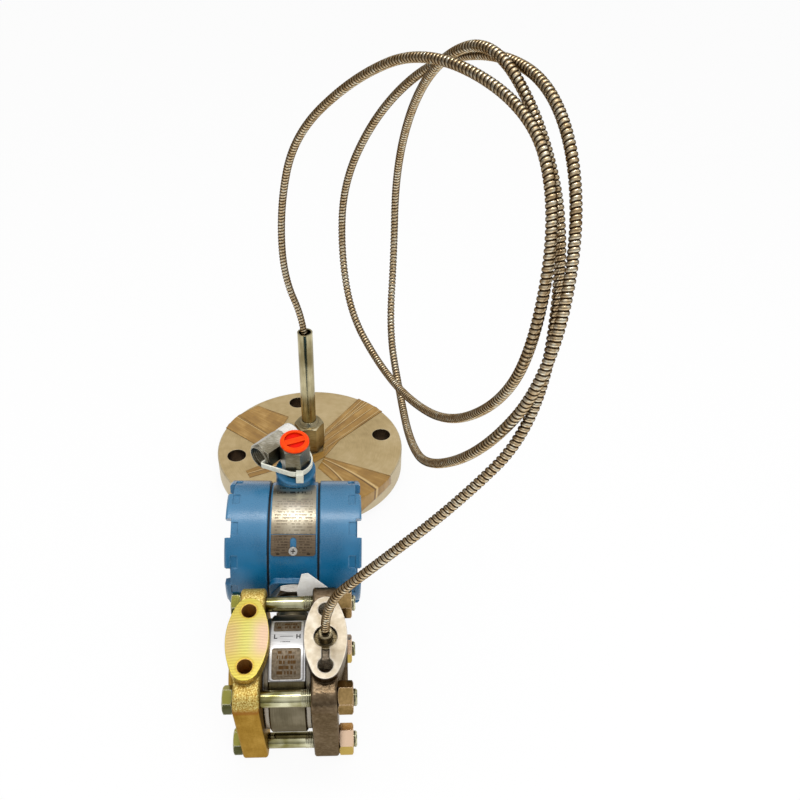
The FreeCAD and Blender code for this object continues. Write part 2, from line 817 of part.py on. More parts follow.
# Terminal compartment: a moulded block on the divider with its screws.
block_foot = half_divider
block_top = block_foot + terminal_thick
terminal = turned(
    [
        (-block_top, 0),
        (-block_top, terminal_radius - terminal_edge),
        (-block_top + terminal_edge, terminal_radius),
        (-block_foot, terminal_radius),
        (-block_foot, 0),
    ],
    "x",
    centre,
)
terminal_screw_list = []
for k in range(terminal_screws):
    a = math.radians(360.0 / terminal_screws * k)
    spot = V(0, housing_reach + terminal_circle * math.cos(a), terminal_circle * math.sin(a))
    screw_foot = terminal_screw_depth - block_top
    screw = rod(terminal_screw_radius, -block_top - terminal_screw_head, screw_foot, "x", spot)
    pit = rod(terminal_screw_radius + seat_gap, -block_top - past, screw_foot, "x", spot)
    terminal = terminal.cut(pit)
    terminal_screw_list.append(screw)
save("terminal_block", [terminal], housing_place)
save("terminal_screws", terminal_screw_list, housing_place)

# Circuit compartment: round boards on four standoffs.
boards = []
standoffs = []
posts = []
for k in range(standoff_count):
    a = math.radians(360.0 / standoff_count * k + standoff_turn)
    posts.append(V(0, housing_reach + standoff_circle * math.cos(a), standoff_circle * math.sin(a)))
board_end = half_divider
for k in range(board_count):
    foot = board_end
    board_foot = foot + board_pitch - board_thick
    board_end = foot + board_pitch
    boards.append(rod(board_radius, board_foot, board_end, "x", centre))
    for post in posts:
        standoffs.append(rod(standoff_radius, foot, board_foot, "x", post))
save("circuit_boards", boards, housing_place)
save("board_standoffs", standoffs, housing_place)

# Remote seal: a bolting flange on a raised face with a thin diaphragm, a hexagon block with a weld
# neck on top, and a thin tube that guides the capillary.
flange_top = seal_face_height + seal_thick
seal_radius = seal_dia / 2
seal_flange = turned(
    [
        (seal_face_height, 0),
        (seal_face_height, seal_radius - seal_edge),
        (seal_face_height + seal_edge, seal_radius),
        (flange_top - seal_edge, seal_radius),
        (flange_top, seal_radius - seal_edge),
        (flange_top, 0),
    ],
    "z",
)
holes = []
for k in range(seal_holes):
    a = math.radians(seal_turn + 360.0 / seal_holes * k)
    spot = V(seal_bolt_circle / 2 * math.cos(a), seal_bolt_circle / 2 * math.sin(a), 0)
    holes.append(rod(seal_hole_dia / 2, 0, flange_top + past, "z", spot))
save("seal_flange", [seal_flange.cut(holes)], seal_place)

seal_film_radius = seal_diaphragm_dia / 2
seal_body = turned(
    [
        (seal_face_recess, 0),
        (seal_face_recess, seal_film_radius + seat_gap),
        (0, seal_film_radius + seat_gap),
        (0, seal_face_dia / 2 - seal_face_edge),
        (seal_face_edge, seal_face_dia / 2),
        (seal_face_height, seal_face_dia / 2),
        (seal_face_height, 0),
    ],
    "z",
)
save("seal_body", [seal_body], seal_place)
film_foot = seal_face_recess - seal_diaphragm_thick
seal_film = rod(seal_film_radius, film_foot, seal_face_recess, "z")
save("seal_diaphragm", [seal_film], seal_place)

block_end = flange_top + block_height
neck_end = block_end + block_neck_height
tube_radius = tube_dia / 2
tube_bore = tube_radius - tube_wall
hex_block = hexagon(block_flats, flange_top, block_end, "z", V(0, 0, 0), 0, block_turn)
weld_neck = turned(
    [
        (block_end - past, 0),
        (block_end - past, tube_radius + weld_foot),
        (block_end, tube_radius + weld_foot),
        (neck_end, tube_radius + weld_top),
        (neck_end, 0),
    ],
    "z",
)
save("seal_block", [hex_block.fuse(weld_neck).removeSplitter()], seal_place)
tube_end = flange_top + tube_top
save("support_tube", [rod(tube_radius, neck_end, tube_end, "z", V(0, 0, 0), tube_bore)], seal_place)
ferrule_end = tube_end - ferrule_depth
ferrule = rod(tube_bore - seat_gap, ferrule_end - ferrule_length, ferrule_end, "z")
save("tube_ferrule", [ferrule], seal_place)

# Capillary fitting in the high side's port: a round base in the bore and a stub that the armour
# stands on.
port_floor = pad_height - port_depth
fitting_end = pad_height + fitting_rise
fitting = turned(
    [
        (port_floor, 0),
        (port_floor, port_dia / 2 - seat_gap),
        (port_floor + fitting_base, port_dia / 2 - seat_gap),
        (port_floor + fitting_base, fitting_dia / 2),
        (fitting_end - fitting_edge, fitting_dia / 2),
        (fitting_end, fitting_dia / 2 - fitting_edge),
        (fitting_end, 0),
    ],
    "z",
    V(pad_centre, 0, 0),
)
save("capillary_fitting", [fitting], base_place)

# Capillary armour: from the ferrule in the seal's tube, up and round in two standing loops, and down
# into the fitting on the high side's pad.
tube_seat = seal_at.add(V(0, 0, ferrule_end))
pad_seat = base_place.multVec(V(pad_centre, 0, fitting_end))
pad_out = base_place.multVec(V(pad_centre, 0, fitting_end + pad_exit_run))
loops = [
    (-17, 121, 228),
    (-15, 113, 298),
    (1, 82, 366),
    (45, 29, 421),
    (86, -40, 455),
    (132, -115, 444),
    (140, -164, 409),
    (135, -175, 335),
    (127, -144, 277),
    (107, -93, 225),
    (87, -24, 193),
    (66, 46, 181),
    (43, 103, 198),
    (35, 134, 247),
    (38, 125, 312),
    (62, 83, 380),
    (94, 26, 431),
    (123, -51, 456),
    (145, -115, 452),
    (152, -165, 406),
    (139, -198, 334),
    (115, -175, 267),
    (92, -115, 204),
    (86, -50, 172),
    (83, 22, 166),
    (77, 87, 188),
    (82, 127, 245),
    (81, 120, 319),
    (86, 60, 392),
    (97, -16, 445),
    (119, -66, 465),
    (140, -114, 433),
    (148, -161, 386),
    (140, -188, 297),
    (98, -195, 245),
    (49, -194, 191),
]
route = [tube_seat, tube_seat.add(V(0, 0, tube_exit_run))]
route += [V(*point) for point in loops]
route += [pad_out, pad_seat]

edges = []
radii = []
last = route[0]
for before, corner, after in zip(route, route[1:], route[2:]):
    back = before.sub(corner)
    ahead = after.sub(corner)
    reach = bend_share * min(back.Length, ahead.Length)
    turn = math.pi - back.getAngle(ahead)
    radius = reach / math.tan(turn / 2)
    back.normalize()
    ahead.normalize()
    start = corner.add(V(back).multiply(reach))
    end = corner.add(V(ahead).multiply(reach))
    inward = back.add(ahead).normalize()
    middle = corner.add(inward.multiply(radius / math.cos(turn / 2) - radius))
    edges.append(Part.LineSegment(last, start).toShape())
    edges.append(Part.Arc(start, middle, end).toShape())
    radii.append(radius)
    last = end
edges.append(Part.LineSegment(last, route[-1]).toShape())
path = Part.Wire(edges)
section = Part.Wire(Part.makeCircle(armour_dia / 2, route[0], V(0, 0, 1)))
armour = path.makePipeShell([section], True, False)
armour.exportStep("parts/capillary.step")
expected = math.pi * (armour_dia / 2) ** 2 * path.Length
print("lean", round(math.degrees(lean), 2), "base", base_at, "seal", seal_at)
print("bend radii", [round(r) for r in radii])
print("length", round(path.Length), "volume ratio", round(armour.Volume / expected, 4))
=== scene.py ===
import json
import math

import bpy
import numpy as np
from mathutils import Matrix, Vector


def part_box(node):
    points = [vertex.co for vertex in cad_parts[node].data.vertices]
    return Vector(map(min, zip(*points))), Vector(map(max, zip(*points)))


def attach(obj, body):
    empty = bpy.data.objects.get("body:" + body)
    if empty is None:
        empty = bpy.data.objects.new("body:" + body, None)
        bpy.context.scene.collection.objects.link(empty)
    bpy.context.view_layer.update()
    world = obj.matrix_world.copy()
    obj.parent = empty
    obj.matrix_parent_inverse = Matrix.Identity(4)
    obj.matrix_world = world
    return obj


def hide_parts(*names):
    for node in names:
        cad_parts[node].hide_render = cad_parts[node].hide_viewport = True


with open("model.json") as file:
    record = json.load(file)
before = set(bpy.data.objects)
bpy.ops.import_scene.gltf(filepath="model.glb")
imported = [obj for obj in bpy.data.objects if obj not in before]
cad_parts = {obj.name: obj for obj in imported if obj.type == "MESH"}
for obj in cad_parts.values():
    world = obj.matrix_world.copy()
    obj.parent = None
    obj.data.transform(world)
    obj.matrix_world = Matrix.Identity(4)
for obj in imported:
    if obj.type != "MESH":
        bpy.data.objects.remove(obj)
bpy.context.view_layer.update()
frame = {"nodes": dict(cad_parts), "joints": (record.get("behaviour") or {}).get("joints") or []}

# Process flange, low side: a square stainless casting under a gold film. Its top keeps the grain of
# the mould, its end is smoother, and its oval pad is milled flat with two threaded holes.


class Field:
    """A value over a surface: arithmetic on fields adds Math nodes, and node() adds any other."""

    def __init__(self, tree, socket=None):
        self.tree = tree
        self.socket = socket

    def node(self, kind, settings=None, sockets=None, out=0):
        """Adds a node: its settings first, then the values or links of its sockets."""
        made = self.tree.nodes.new(kind)
        for name, value in (settings or {}).items():
            if name == "stops":
                ramp = made.color_ramp.elements
                while len(ramp) < len(value):
                    ramp.new(1.0)
                for stop, (place, colour) in zip(ramp, value):
                    stop.position = place
                    stop.color = colour
            else:
                setattr(made, name, value)
        for key, value in (sockets or {}).items():
            if isinstance(value, Field):
                self.tree.links.new(value.socket, made.inputs[key])
            else:
                made.inputs[key].default_value = value
        return None if out is None else Field(self.tree, made.outputs[out])

    def math(self, operation, *lit_and_shaded_tones):
        """A Math node of this value and the others."""
        sockets = dict(enumerate((self,) + lit_and_shaded_tones))
        return self.node("ShaderNodeMath", {"operation": operation}, sockets)

    def __add__(self, painted_facing_light):
        return self.math("ADD", painted_facing_light)

    def __sub__(self, painted_facing_light):
        return self.math("SUBTRACT", painted_facing_light)

    def __rsub__(self, painted_facing_light):
        return self.node("ShaderNodeMath", {"operation": "SUBTRACT"}, {0: painted_facing_light, 1: self})

    def __mul__(self, painted_facing_light):
        return self.math("MULTIPLY", painted_facing_light)

    def __truediv__(self, painted_facing_light):
        return self.math("DIVIDE", painted_facing_light)

    __radd__ = __add__
    __rmul__ = __mul__

    def __abs__(self):
        return self.math("ABSOLUTE")

    def rise(self, low, high):
        """0 below low, 1 above high, smooth between; falls instead where low is the larger."""
        sockets = {"Value": self, "From Min": low, "From Max": high}
        return self.node("ShaderNodeMapRange", {"interpolation_type": "SMOOTHSTEP"}, sockets)

    def colours(self, first, second):
        """The first colour where this is 0 and the second where it is 1."""
        return self.node("ShaderNodeMix", {"data_type": "RGBA"}, {0: self, 6: first, 7: second}, 2)

    def ramp(self, *stops):
        """The colour that the stops, each a value and its colour, give for this value."""
        return self.node("ShaderNodeValToRGB", {"stops": stops}, {"Fac": self})


def tint(red, green, blue):
    """A colour from its screen values, 0 to 255, as linear light."""
    return tuple(((c / 255 + 0.055) / 1.055) ** 2.4 for c in (red, green, blue)) + (1.0,)


def finish(name, **constants):
    """A material with its constants set on the shader's sockets, and an empty field in its tree."""
    material = bpy.data.materials.new(name)
    material.use_nodes = True
    shader = material.node_tree.nodes["Principled BSDF"]
    for socket, value in constants.items():
        shader.inputs[socket.replace("_", " ")].default_value = value
    return material, Field(material.node_tree)


def feed(material, **fields):
    """Links fields to the shader's sockets."""
    shader = material.node_tree.nodes["Principled BSDF"]
    for socket, field in fields.items():
        material.node_tree.links.new(field.socket, shader.inputs[socket.replace("_", " ")])


def dress(material, *names):
    """Gives CAD nodes a material."""
    for name in names:
        for place in frame["nodes"][name].material_slots:
            place.material = material


def object_place(root):
    """A place in the object's own frame."""
    return root.node("ShaderNodeTexCoord", out="Object")


def turned_place(root, origin, angles):
    """A place in a frame that is turned by the angles about its origin."""
    sockets = {"Vector": object_place(root), "Location": origin, "Rotation": angles}
    return root.node("ShaderNodeMapping", {"vector_type": "TEXTURE"}, sockets)


def parts(place, axes="XYZ"):
    """The coordinates of a place along the axes."""
    return [place.node("ShaderNodeSeparateXYZ", None, {0: place}, axis) for axis in axes]


def distance(across, along):
    """The length of a line from its two parts, square to each other."""
    return (across * across + along * along).math("SQRT")


def ridges(along, pitch):
    """A wave from 0 to 1 and back in each pitch, like a thread or the marks of a cutter."""
    return (along * (2 * math.pi / pitch)).math("SINE") * 0.5 + 0.5


def grain(place, scale, detail=2.0, stretch=(1.0, 1.0, 1.0)):
    """Noise from 0 to 1 with features of about 1/scale metres, drawn out by the stretch."""
    spread = place.node("ShaderNodeVectorMath", {"operation": "MULTIPLY"}, {0: place, 1: stretch})
    sockets = {"Vector": spread, "Scale": scale, "Detail": detail}
    return place.node("ShaderNodeTexNoise", None, sockets, "Fac")


def soft_edge(root, radius):
    """The normal as if the edges were rounded by the radius."""
    return root.node("ShaderNodeBevel", {"samples": 4}, {"Radius": radius}, "Normal")


def edge_mask(root, radius, gain):
    """1 near edges: how far the rounded normal turns from the plain one."""
    plain = root.node("ShaderNodeNewGeometry", out="Normal")
    dot = {0: soft_edge(root, radius), 1: plain}
    along = root.node("ShaderNodeVectorMath", {"operation": "DOT_PRODUCT"}, dot, "Value")
    return ((1 - along) * gain).math("MINIMUM", 1.0)


def recess_shade(root, tone, dark, reach, low=0.2, high=0.9):
    """The tone where the surface lies open, and the dark one as painted shade in recesses within the
    reach.
    """
    air = root.node("ShaderNodeAmbientOcclusion", {"samples": 4}, {"Distance": reach}, "AO")
    return air.rise(low, high).colours(dark, tone)


def bump(root, height, depth, edge=None):
    """A normal from a height of 0 to 1 that stands for a depth in metres, over soft edges."""
    sockets = {"Height": height, "Strength": 1.0, "Distance": depth}
    if edge:
        sockets["Normal"] = soft_edge(root, edge)
    return root.node("ShaderNodeBump", None, sockets)


joints = {joint["name"]: joint for joint in frame["joints"]}
swivel = joints["housing_swivel"]
lean = math.atan2(swivel["axis"][2], swivel["axis"][1])
base_at = swivel["pos_m"]
pad_top = 0.0535
pad_side = 0.027
hole_side = 0.02065
hole_radius = 0.00495
hole_pitch = 0.0016
hole_depth = (0.02, 0.03)
sandy_top = (0.0375, 0.0435)
scorch_start = (0.0355, 0.0385)
scorch_end = (0.0425, 0.039)
mill_pitch = 0.0021
mill_bow = 6.0


def transmitter_place(root):
    """Low to high side, along the neck, and out of the pads, from the module's middle."""
    return turned_place(root, base_at, (lean, 0.0, 0.0))


def pad_holes(x, y, side):
    """The distance to the nearer of a pad's two holes."""
    return distance(x - side, abs(y) - hole_side)


gold_cast, root = finish("gold_cast", Metallic=1.0, Specular_Tint=(0.78, 0.68, 0.5, 1.0))
place = transmitter_place(root)
x, y, z = parts(place)
sand = grain(place, 1100.0, 4.0)
cloud = grain(place, 55.0)
drawn = grain(place, 500.0, 3.0, (1.0, 1.0, 0.12))
cast = z.rise(*sandy_top)
haze = cloud * 0.5 + drawn * 0.2 + grain(place, 900.0) * 0.3
smooth_gold = haze.ramp(
    (0.36, tint(146, 108, 36)),
    (0.5, tint(170, 132, 56)),
    (0.64, tint(190, 152, 74)),
)
sandy_gold = sand.ramp(
    (0.34, tint(172, 128, 54)),
    (0.5, tint(214, 184, 98)),
    (0.66, tint(250, 238, 162)),
)
gold = cast.colours(smooth_gold, sandy_gold)
scorch = z.rise(*scorch_start) * z.rise(*scorch_end) * 0.75
gold = scorch.colours(gold, tint(150, 96, 42))
on_pad = z.rise(pad_top - 0.0006, pad_top - 0.0002)
off = x + pad_side
lines = ridges(y + off * off * mill_bow, mill_pitch)
pink = (off + (cloud - 0.5) * 0.012).rise(-0.004, 0.006)
milled = pink.colours(tint(196, 172, 116), tint(204, 174, 146))
stripe = abs(off + 0.0004).rise(0.011, 0.0) * 0.75
milled = stripe.colours(milled, tint(196, 198, 102))
milled = (abs(y).rise(0.006, 0.02) * 0.85).colours(milled, tint(198, 184, 82))
scored = (lines * off.rise(0.012, -0.006) * 0.34).colours(milled, tint(160, 126, 66))
near_hole = pad_holes(x, y, -pad_side)
ringed = (near_hole.rise(0.0072, 0.0062) * 0.6).colours(scored, tint(178, 144, 54))
# The pad's rim is lightened to a bright yellow: a painted highlight.
rimmed = edge_mask(root, 0.0011, 9.0).colours(ringed, tint(242, 226, 88))
gold = on_pad.colours(gold, rimmed)
in_hole = near_hole.rise(hole_radius + 0.0009, hole_radius + 0.0003) * z.rise(*hole_depth)
# The copper threads in the holes are striped light and dark at each turn: painted light and shade.
turns = ridges(z, hole_pitch)
copper = turns.colours(tint(120, 82, 42), tint(240, 190, 112))
gold = in_hole.colours(gold, copper)
feed(gold_cast, Base_Color=recess_shade(root, gold, tint(86, 58, 24), 0.004))
feed(gold_cast, Roughness=cast * (1 - on_pad) * 0.1 + cloud * 0.1 + 0.36)
relief = sand * cast * (1 - on_pad) * 0.4 + turns * in_hole * 0.8
relief = relief + lines * on_pad * 0.06 + drawn * 0.05
feed(gold_cast, Normal=bump(root, relief, 0.0006, 0.0008))
dress(gold_cast, "process_flange_low")

# Process flange, high side: the same casting, left dark brown from heat, with a bright milled pad.
# The pad's bore takes the capillary, and a keyway runs from the bore to the nearer hole.
port_wall = (0.0088, 0.0083)
keyway_side = (0.0034, 0.0029)
keyway_start = (-0.0065, -0.0075)
keyway_floor = (0.047, 0.0485)
brown_cast, root = finish("brown_cast", Metallic=1.0, Specular_Tint=(0.6, 0.56, 0.5, 1.0))
place = transmitter_place(root)
x, y, z = parts(place)
sand = grain(place, 420.0, 4.0)
cloud = grain(place, 60.0, 3.0)
lumps = cloud * 0.5 + sand * 0.5
skin = lumps.ramp((0.38, tint(90, 74, 55)), (0.5, tint(106, 89, 68)), (0.62, tint(126, 109, 87)))
on_pad = z.rise(pad_top - 0.0005, pad_top - 0.0002)
stain = cloud * 0.6 + grain(place, 250.0, 3.0) * 0.4
faced = stain.ramp(
    (0.36, tint(184, 168, 142)),
    (0.5, tint(206, 193, 170)),
    (0.62, tint(226, 216, 198)),
)
off = x - pad_side
# The pad's edges are lightened to near white: a painted highlight.
bright = edge_mask(root, 0.0014, 9.0).colours(faced, tint(255, 248, 236))
brown = on_pad.colours(skin, bright)
in_hole = pad_holes(x, y, pad_side).rise(hole_radius + 0.0008, hole_radius + 0.0003)
in_port = distance(off, y).rise(*port_wall)
sunk = in_hole.math("MAXIMUM", in_port) * z.rise(*hole_depth) * (1 - on_pad)
turns = ridges(z, hole_pitch)
# The threads in the bore and holes are striped dark and near white at each turn: painted light and
# shade.
thread_steel = turns.colours(tint(92, 76, 58), tint(252, 244, 226))
keyway = abs(off).rise(*keyway_side) * y.rise(*keyway_start) * (1 - on_pad) * z.rise(*keyway_floor)
brown = sunk.colours(brown, thread_steel)
brown = keyway.colours(brown, tint(128, 116, 100))
feed(brown_cast, Base_Color=recess_shade(root, brown, tint(48, 38, 30), 0.004))
feed(brown_cast, Roughness=cloud * 0.16 + 0.2 + on_pad * 0.2)
relief = sand * (1 - on_pad) * 0.5 + turns * sunk * 1.2
feed(brown_cast, Normal=bump(root, relief, 0.0005, 0.001))
dress(brown_cast, "process_flange_high")

# Flange bolts: four steel bolts through both flanges, zinc plated and passivated yellow. The shanks
# are plain and end in a rolled thread before the high side's flange and outside its nuts.


def to_transmitter(points):
    """Points of the transmitter's own frame as places in the object."""
    turn = np.array(Matrix.Rotation(lean, 3, "X"))
    return points @ turn.T + np.array(base_at)


def grid_faces(rows, columns, wrap=False):
    """Quads between the points of a grid, with the last column joined to the first if it wraps."""
    row, column = np.meshgrid(np.arange(rows - 1), np.arange(columns - (not wrap)), indexing="ij")
    near = (row * columns + column).ravel()
    beside = (row * columns + (column + 1) % columns).ravel()
    return np.column_stack([near, beside, beside + columns, near + columns])


def new_piece(name, points, faces, material, body, slot):
    """A smooth mesh object at the origin, on a body, with its finish. The slot is not used."""
    mesh = bpy.data.meshes.new(name)
    mesh.from_pydata(points.tolist(), [], [list(face) for face in faces])
    mesh.update()
    mesh.polygons.foreach_set("use_smooth", np.full(len(mesh.polygons), True))
    mesh.materials.append(material)
    piece = bpy.data.objects.new(name, mesh)
    bpy.context.scene.collection.objects.link(piece)
    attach(piece, body)
    return piece


def helix_ridge(radius, depth, pitch, start, end, flat=0.3, steps=28):
    """A screw thread along z: a ridge of trapezium section, (along, radius) at the four corners of
    the section, carried round a helix, z = start + pitch * turn, that grows and dies at its ends.
    A depth below 0 makes an inner thread."""
    turns = (end - start) / pitch - 1
    angle = np.linspace(0.0, 2 * np.pi * turns, int(steps * turns) + 1)[:, None]
    fade = np.clip(np.minimum(angle, angle[-1] - angle) / 2.0, 0.0, 1.0)
    along = np.array([-0.5, -0.5 * flat, 0.5 * flat, 0.5]) * pitch
    reach = radius + np.array([0.0, 1.0, 1.0, 0.0]) * depth * fade
    height = start + 0.5 * pitch + pitch * angle / (2 * np.pi) + along
    points = np.stack([reach * np.cos(angle), reach * np.sin(angle), height], axis=-1)
    faces = grid_faces(len(angle), 4)
    return points.reshape(-1, 3), faces[:, ::-1] if depth > 0 else faces


def several(shapes):
    """One mesh from several shapes of points and faces."""
    offsets = np.cumsum([0] + [len(points) for points, faces in shapes[:-1]])
    points = np.concatenate([points for points, faces in shapes])
    return points, np.concatenate([faces + offset for (_, faces), offset in zip(shapes, offsets)])


def zinc(name, dull, plain, bright, shine, streak, lit_and_shaded_tones, axis, start, end):
    """Passivated zinc: soft clouds of two colours, drawn out by the streak, with brighter edges as a
    painted highlight. Two other colours, for faces that look down and for those that look up, come
    in from the start to the end along an axis of the transmitter: painted shade and light."""
    material, root = finish(name, Metallic=1.0, Specular_Tint=(0.66, 0.62, 0.55, 1.0))
    place = object_place(root)
    cloud = grain(place, 60.0)
    streaks = grain(place, 700.0, 2.0, streak)
    patch = cloud * 0.75 + streaks * 0.25
    plated = patch.ramp((0.38, dull), (0.62, plain))
    along = parts(transmitter_place(root), axis)[0]
    upward = parts(root.node("ShaderNodeTexCoord", out="Normal"), "Z")[0]
    # Faces that look up take the lighter tone and faces that look down the darker: painted light and
    # shade.
    painted_facing_light = upward.rise(0.15, 0.45).colours(*lit_and_shaded_tones)
    plated = (along.rise(start, end) * 0.88).colours(plated, painted_facing_light)
    plated = (edge_mask(root, 0.0009, 7.0) * 0.8).colours(plated, bright)
    feed(material, Base_Color=recess_shade(root, plated, tint(58, 50, 30), 0.005, 0.25, 0.95))
    feed(material, Roughness=cloud * 0.12 + shine)
    feed(material, Normal=bump(root, streaks, 0.00003, 0.0005))
    return material


along_bolt = (0.05, 1.0, 1.0)
bolt_tones = (tint(132, 126, 76), tint(226, 223, 188), tint(252, 250, 232))
# On the heads, faces that look down are dark green and those that look up olive yellow: painted
# shade and light.
head_lit_and_shaded = (tint(62, 66, 36), tint(150, 146, 64))
head_face = base_at[0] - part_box("flange_nuts")[0][0]
head_run = (head_face + 0.0002, head_face)
yellow_zinc = zinc("yellow_zinc", *bolt_tones, 0.07, along_bolt, head_lit_and_shaded, "X", *head_run)
dress(yellow_zinc, "flange_bolts")
bolt_radius = 0.00555
bolt_side = 0.0355
bolt_root = 0.00004
bolt_thread = (0.00034, 0.00125)
thread_runs = ((0.0098, 0.0172), (0.0456, 0.0478))
along_x = np.array([[0.0, 0.0, 1.0], [1.0, 0.0, 0.0], [0.0, 1.0, 0.0]])
threads = []
for side_y in (-bolt_side, bolt_side):
    for side_z in (-bolt_side, bolt_side):
        for run in thread_runs:
            points, faces = helix_ridge(bolt_radius - bolt_root, *bolt_thread, *run)
            threads.append((to_transmitter(points @ along_x.T + [0.0, side_y, side_z]), faces))
new_piece("bolt_threads", *several(threads), yellow_zinc, "base", "yellow_zinc")

# Flange nuts: heavy hexagon nuts that draw the two flanges together on the high side, of steel that
# is plated like the bolts but more golden. On the lower ones, faces that look up are pale pink and
# faces that look down gold: the plating's colours, split by painted light and shade.
all_ways = (1.0, 1.0, 1.0)
nut_tones = (tint(104, 82, 40), tint(172, 142, 94), tint(250, 218, 190))
# Pale pink for faces that look up and gold for those that look down: painted light and shade.
nut_lit_and_shaded = (tint(200, 172, 92), tint(250, 216, 186))
gold_zinc = zinc("gold_zinc", *nut_tones, 0.1, all_ways, nut_lit_and_shaded, "Z", 0.005, -0.005)
dress(gold_zinc, "flange_nuts")

# Sensor module: a welded stainless disc that the flanges clamp, with its turned neck, and the thin
# diaphragms and gaskets in its sides.
weld_ring = (0.0129, 0.0133)
module_steel, root = finish("module_steel", Metallic=1.0, Specular_Tint=(0.64, 0.6, 0.54, 1.0))
place = transmitter_place(root)
x = parts(place, "X")[0]
cloud = grain(place, 70.0, 3.0)
lathe = grain(place, 1400.0, 2.0, (1.0, 0.04, 0.04))
tone = cloud * 0.7 + lathe * 0.3
steel = tone.ramp((0.34, tint(92, 84, 66)), (0.5, tint(108, 100, 80)), (0.68, tint(132, 123, 102)))
steel = abs(x).rise(*weld_ring).colours(steel, tint(186, 178, 164))
feed(module_steel, Base_Color=recess_shade(root, steel, tint(52, 46, 38), 0.005))
feed(module_steel, Roughness=lathe * 0.15 + 0.28)
feed(module_steel, Normal=bump(root, lathe, 0.00008, 0.0005))
dress(module_steel, "sensor_module", "isolating_diaphragm_low", "isolating_diaphragm_high")

white_gasket, root = finish("white_gasket", Roughness=0.6)
speck = grain(object_place(root), 900.0, 3.0)
feed(white_gasket, Base_Color=speck.ramp((0.35, tint(214, 212, 204)), (0.7, tint(236, 234, 228))))
feed(white_gasket, Normal=bump(root, speck, 0.0001))
dress(white_gasket, "process_gasket_low", "process_gasket_high")

# Module label: a silver foil plate bent over the module, with a raised edge, two etched windows
# with bars of print, and the letters of the low and the high side over their flanges.


def panel(x, y, middle, half, corner):
    """1 inside a rectangle with rounded corners, from its middle and half sizes."""
    blur = 0.00012
    over_x = (abs(x - middle[0]) - (half[0] - corner)).math("MAXIMUM", 0.0)
    over_y = (abs(y - middle[1]) - (half[1] - corner)).math("MAXIMUM", 0.0)
    return (distance(over_x, over_y) - corner).rise(blur, -blur)


def print_rows(x, y, pitch, word, share=0.5):
    """Rows of short bars, like print too small to read: the row fills its share of the pitch, and
    noise along it breaks it into words of about the given length."""
    row = y / pitch
    line = abs(row - row.math("FLOOR") - 0.5).rise(share / 2 + 0.08, share / 2 - 0.08)
    sockets = {"X": x / word, "Y": row.math("FLOOR") * 3.7}
    spot = x.node("ShaderNodeCombineXYZ", None, sockets)
    words = x.node("ShaderNodeTexNoise", None, {"Vector": spot, "Scale": 1.0, "Detail": 1.0}, "Fac")
    return line * words.rise(0.44, 0.5)


label_radius = 0.04105
label_middle = (-0.0005, 0.0)
upper = (-0.0005, 0.0173)
lower = (-0.0005, -0.0125)
stroke_corner = 0.0001
low_letter = [((-0.0093, 0.0073), (0.0004, 0.0019)), ((-0.0084, 0.0058), (0.0011, 0.0004))]
high_letter = [
    ((0.0064, 0.0073), (0.0004, 0.0019)),
    ((0.0086, 0.0073), (0.0004, 0.0019)),
    ((0.0075, 0.0073), (0.0011, 0.0004)),
]
dash = ((-0.0009, 0.0074), (0.0046, 0.00022))
small_print = ((-0.0016, 0.0030), (0.0034, 0.0003))
label_foil, root = finish("label_foil", Metallic=0.75)
place = transmitter_place(root)
x, y, z = parts(place)
arc = y.math("ARCTAN2", z) * label_radius
brush = grain(place, 1800.0, 2.0, (0.05, 1.0, 1.0))
foil = brush.ramp((0.3, tint(200, 199, 198)), (0.7, tint(226, 225, 224)))
outer_line = panel(x, arc, label_middle, (0.0122, 0.0242), 0.002)
inner_line = panel(x, arc, label_middle, (0.0114, 0.0234), 0.0016)
frame_edge = outer_line * (1 - inner_line)
upper_window = panel(x, arc, upper, (0.0098, 0.0054), 0.0013)
lower_window = panel(x, arc, lower, (0.0101, 0.0107), 0.0018)
windows = upper_window + lower_window
upper_print = panel(x, arc, upper, (0.0082, 0.0038), 0.0004)
lower_print = panel(x, arc, lower, (0.0066, 0.0086), 0.0004)
etched = grain(place, 500.0, 3.0).ramp((0.35, tint(98, 86, 70)), (0.65, tint(128, 115, 96)))
bars = print_rows(x, arc - 0.0004, 0.00345, 0.0017, 0.66) * (upper_print + lower_print)
etched = bars.colours(etched, tint(84, 58, 26))
marks = [panel(x, arc, *stroke, stroke_corner) for stroke in low_letter + high_letter + [dash]]
marks.append(panel(x, arc, *small_print, stroke_corner) * print_rows(x, arc, 0.0032, 0.0008, 1.4))
letters = marks[0]
for mark in marks[1:]:
    letters = letters.math("MAXIMUM", mark)
face = windows.colours(foil, etched)
face = letters.colours(face, tint(46, 44, 44))
feed(label_foil, Base_Color=(frame_edge * 0.75).colours(face, tint(112, 110, 112)))
feed(label_foil, Roughness=windows * 0.15 + brush * 0.12 + 0.26)
feed(label_foil, Normal=bump(root, frame_edge * 0.6 - windows * 0.5, 0.0002, 0.0004))
dress(label_foil, "module_label")

# Lock nut: the thin hexagon that is screwed up against the housing and locks it on the module's
# neck, of bright machined stainless steel.


def bright_steel(name, dark, plain, light, shine, relief=0.00005, brush=(0.1, 1.0, 1.0)):
    """Machined steel: clouds of three tones with fine brushed lines, and light edges as a painted
    highlight.
    """
    material, root = finish(name, Metallic=1.0)
    place = object_place(root)
    cloud = grain(place, 40.0)
    lines = grain(place, 1500.0, 2.0, brush)
    tone = (cloud * 0.7 + lines * 0.3).ramp((0.32, dark), (0.5, plain), (0.7, light))
    tone = (edge_mask(root, 0.0007, 5.0) * 0.8).colours(tone, light)
    shadow = tuple(0.25 * c for c in dark[:3]) + (1.0,)
    feed(material, Base_Color=recess_shade(root, tone, shadow, 0.005, 0.2, 0.95))
    feed(material, Roughness=lines * 0.14 + shine)
    feed(material, Normal=bump(root, lines, relief, 0.0005))
    return material


